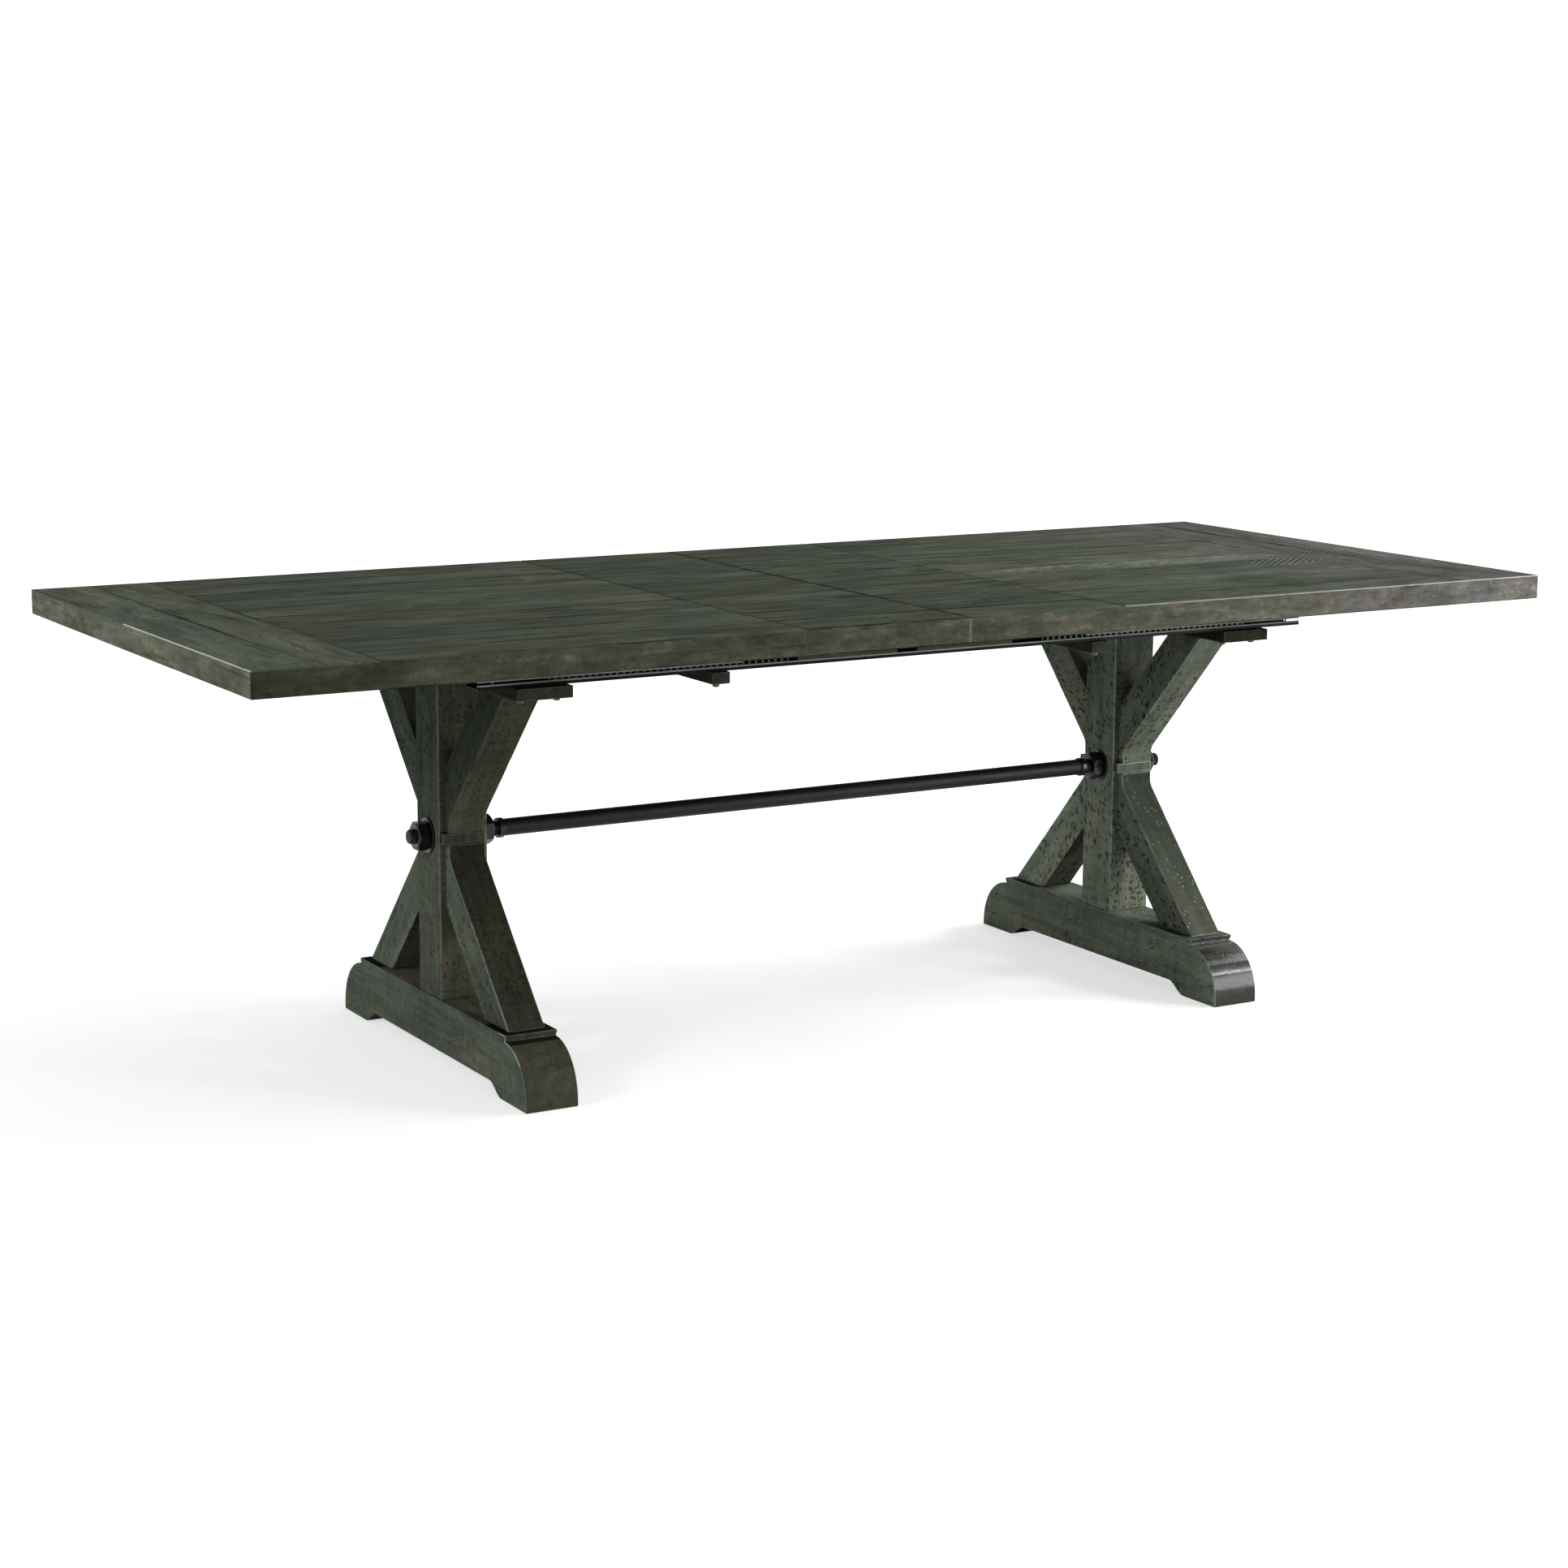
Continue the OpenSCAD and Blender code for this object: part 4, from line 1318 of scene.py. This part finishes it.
def softbox(name, place, target, width, power):
    light = bpy.data.lights.new(name, "AREA")
    light.shape = "RECTANGLE"
    light.size = width
    light.size_y = width
    light.energy = power
    lamp = bpy.data.objects.new(name, light)
    lamp.location = place
    lamp.rotation_euler = (Vector(target) - Vector(place)).to_track_quat("-Z", "Y").to_euler()
    lamp.visible_camera = False
    bpy.context.scene.collection.objects.link(lamp)


def photo_camera():
    """The camera of the photograph, at the place and angles that were solved from the object's corners."""
    yaw, pitch, roll = (math.radians(value) for value in (CAMERA_YAW, CAMERA_PITCH, CAMERA_ROLL))
    forward = Vector((math.sin(yaw) * math.cos(pitch), math.cos(yaw) * math.cos(pitch), math.sin(pitch)))
    level = Vector((math.cos(yaw), -math.sin(yaw), 0.0))
    upright = level.cross(forward)
    right = level * math.cos(roll) + upright * math.sin(roll)
    up = upright * math.cos(roll) - level * math.sin(roll)
    lens = bpy.data.cameras.new("Photo camera")
    lens.sensor_width = SENSOR
    lens.lens = SENSOR * CAMERA_FOCUS_PIXELS / PHOTO_PIXELS
    camera = bpy.data.objects.new("Photo camera", lens)
    turn = Matrix((right, up, -forward)).transposed().to_4x4()
    camera.matrix_world = Matrix.Translation(CAMERA_PLACE) @ turn
    bpy.context.scene.collection.objects.link(camera)
    bpy.context.scene.camera = camera


# Panel and start

STEPS = (TABLE_OT_top, TABLE_OT_trestles, TABLE_OT_beams, TABLE_OT_tie_rod, TABLE_OT_slides,
         TABLE_OT_screws, TABLE_OT_studio)
GROUPS = {"table_boards": TableBoards, "table_stain": TableStain, "table_metal": TableMetal,
          "table_studio": TableStudio}


class TABLE_PT_panel(bpy.types.Panel):
    """Lists the table's settings and building steps"""
    bl_label = "Extending Table"
    bl_idname = "TABLE_PT_panel"
    bl_space_type = "VIEW_3D"
    bl_region_type = "UI"
    bl_category = "Table"

    def draw(self, context):
        for name in GROUPS:
            settings = getattr(context.scene, name)
            box = self.layout.box()
            for key in settings.__annotations__:
                box.prop(settings, key)
        for step in STEPS:
            self.layout.operator(step.bl_idname)


CLASSES = (*GROUPS.values(), *STEPS, TABLE_PT_panel)


def register():
    for item in CLASSES:
        bpy.utils.register_class(item)
    for name, group in GROUPS.items():
        setattr(bpy.types.Scene, name, bpy.props.PointerProperty(type=group))


def unregister():
    for name in GROUPS:
        delattr(bpy.types.Scene, name)
    for item in reversed(CLASSES):
        bpy.utils.unregister_class(item)


def main():
    register()
    bpy.ops.table.build_top()
    bpy.ops.table.build_trestles()
    bpy.ops.table.build_beams()
    bpy.ops.table.build_tie_rod()
    bpy.ops.table.finish_slides()
    bpy.ops.table.build_screws()
    bpy.ops.table.build_studio()


if __name__ == "__main__":
    main()
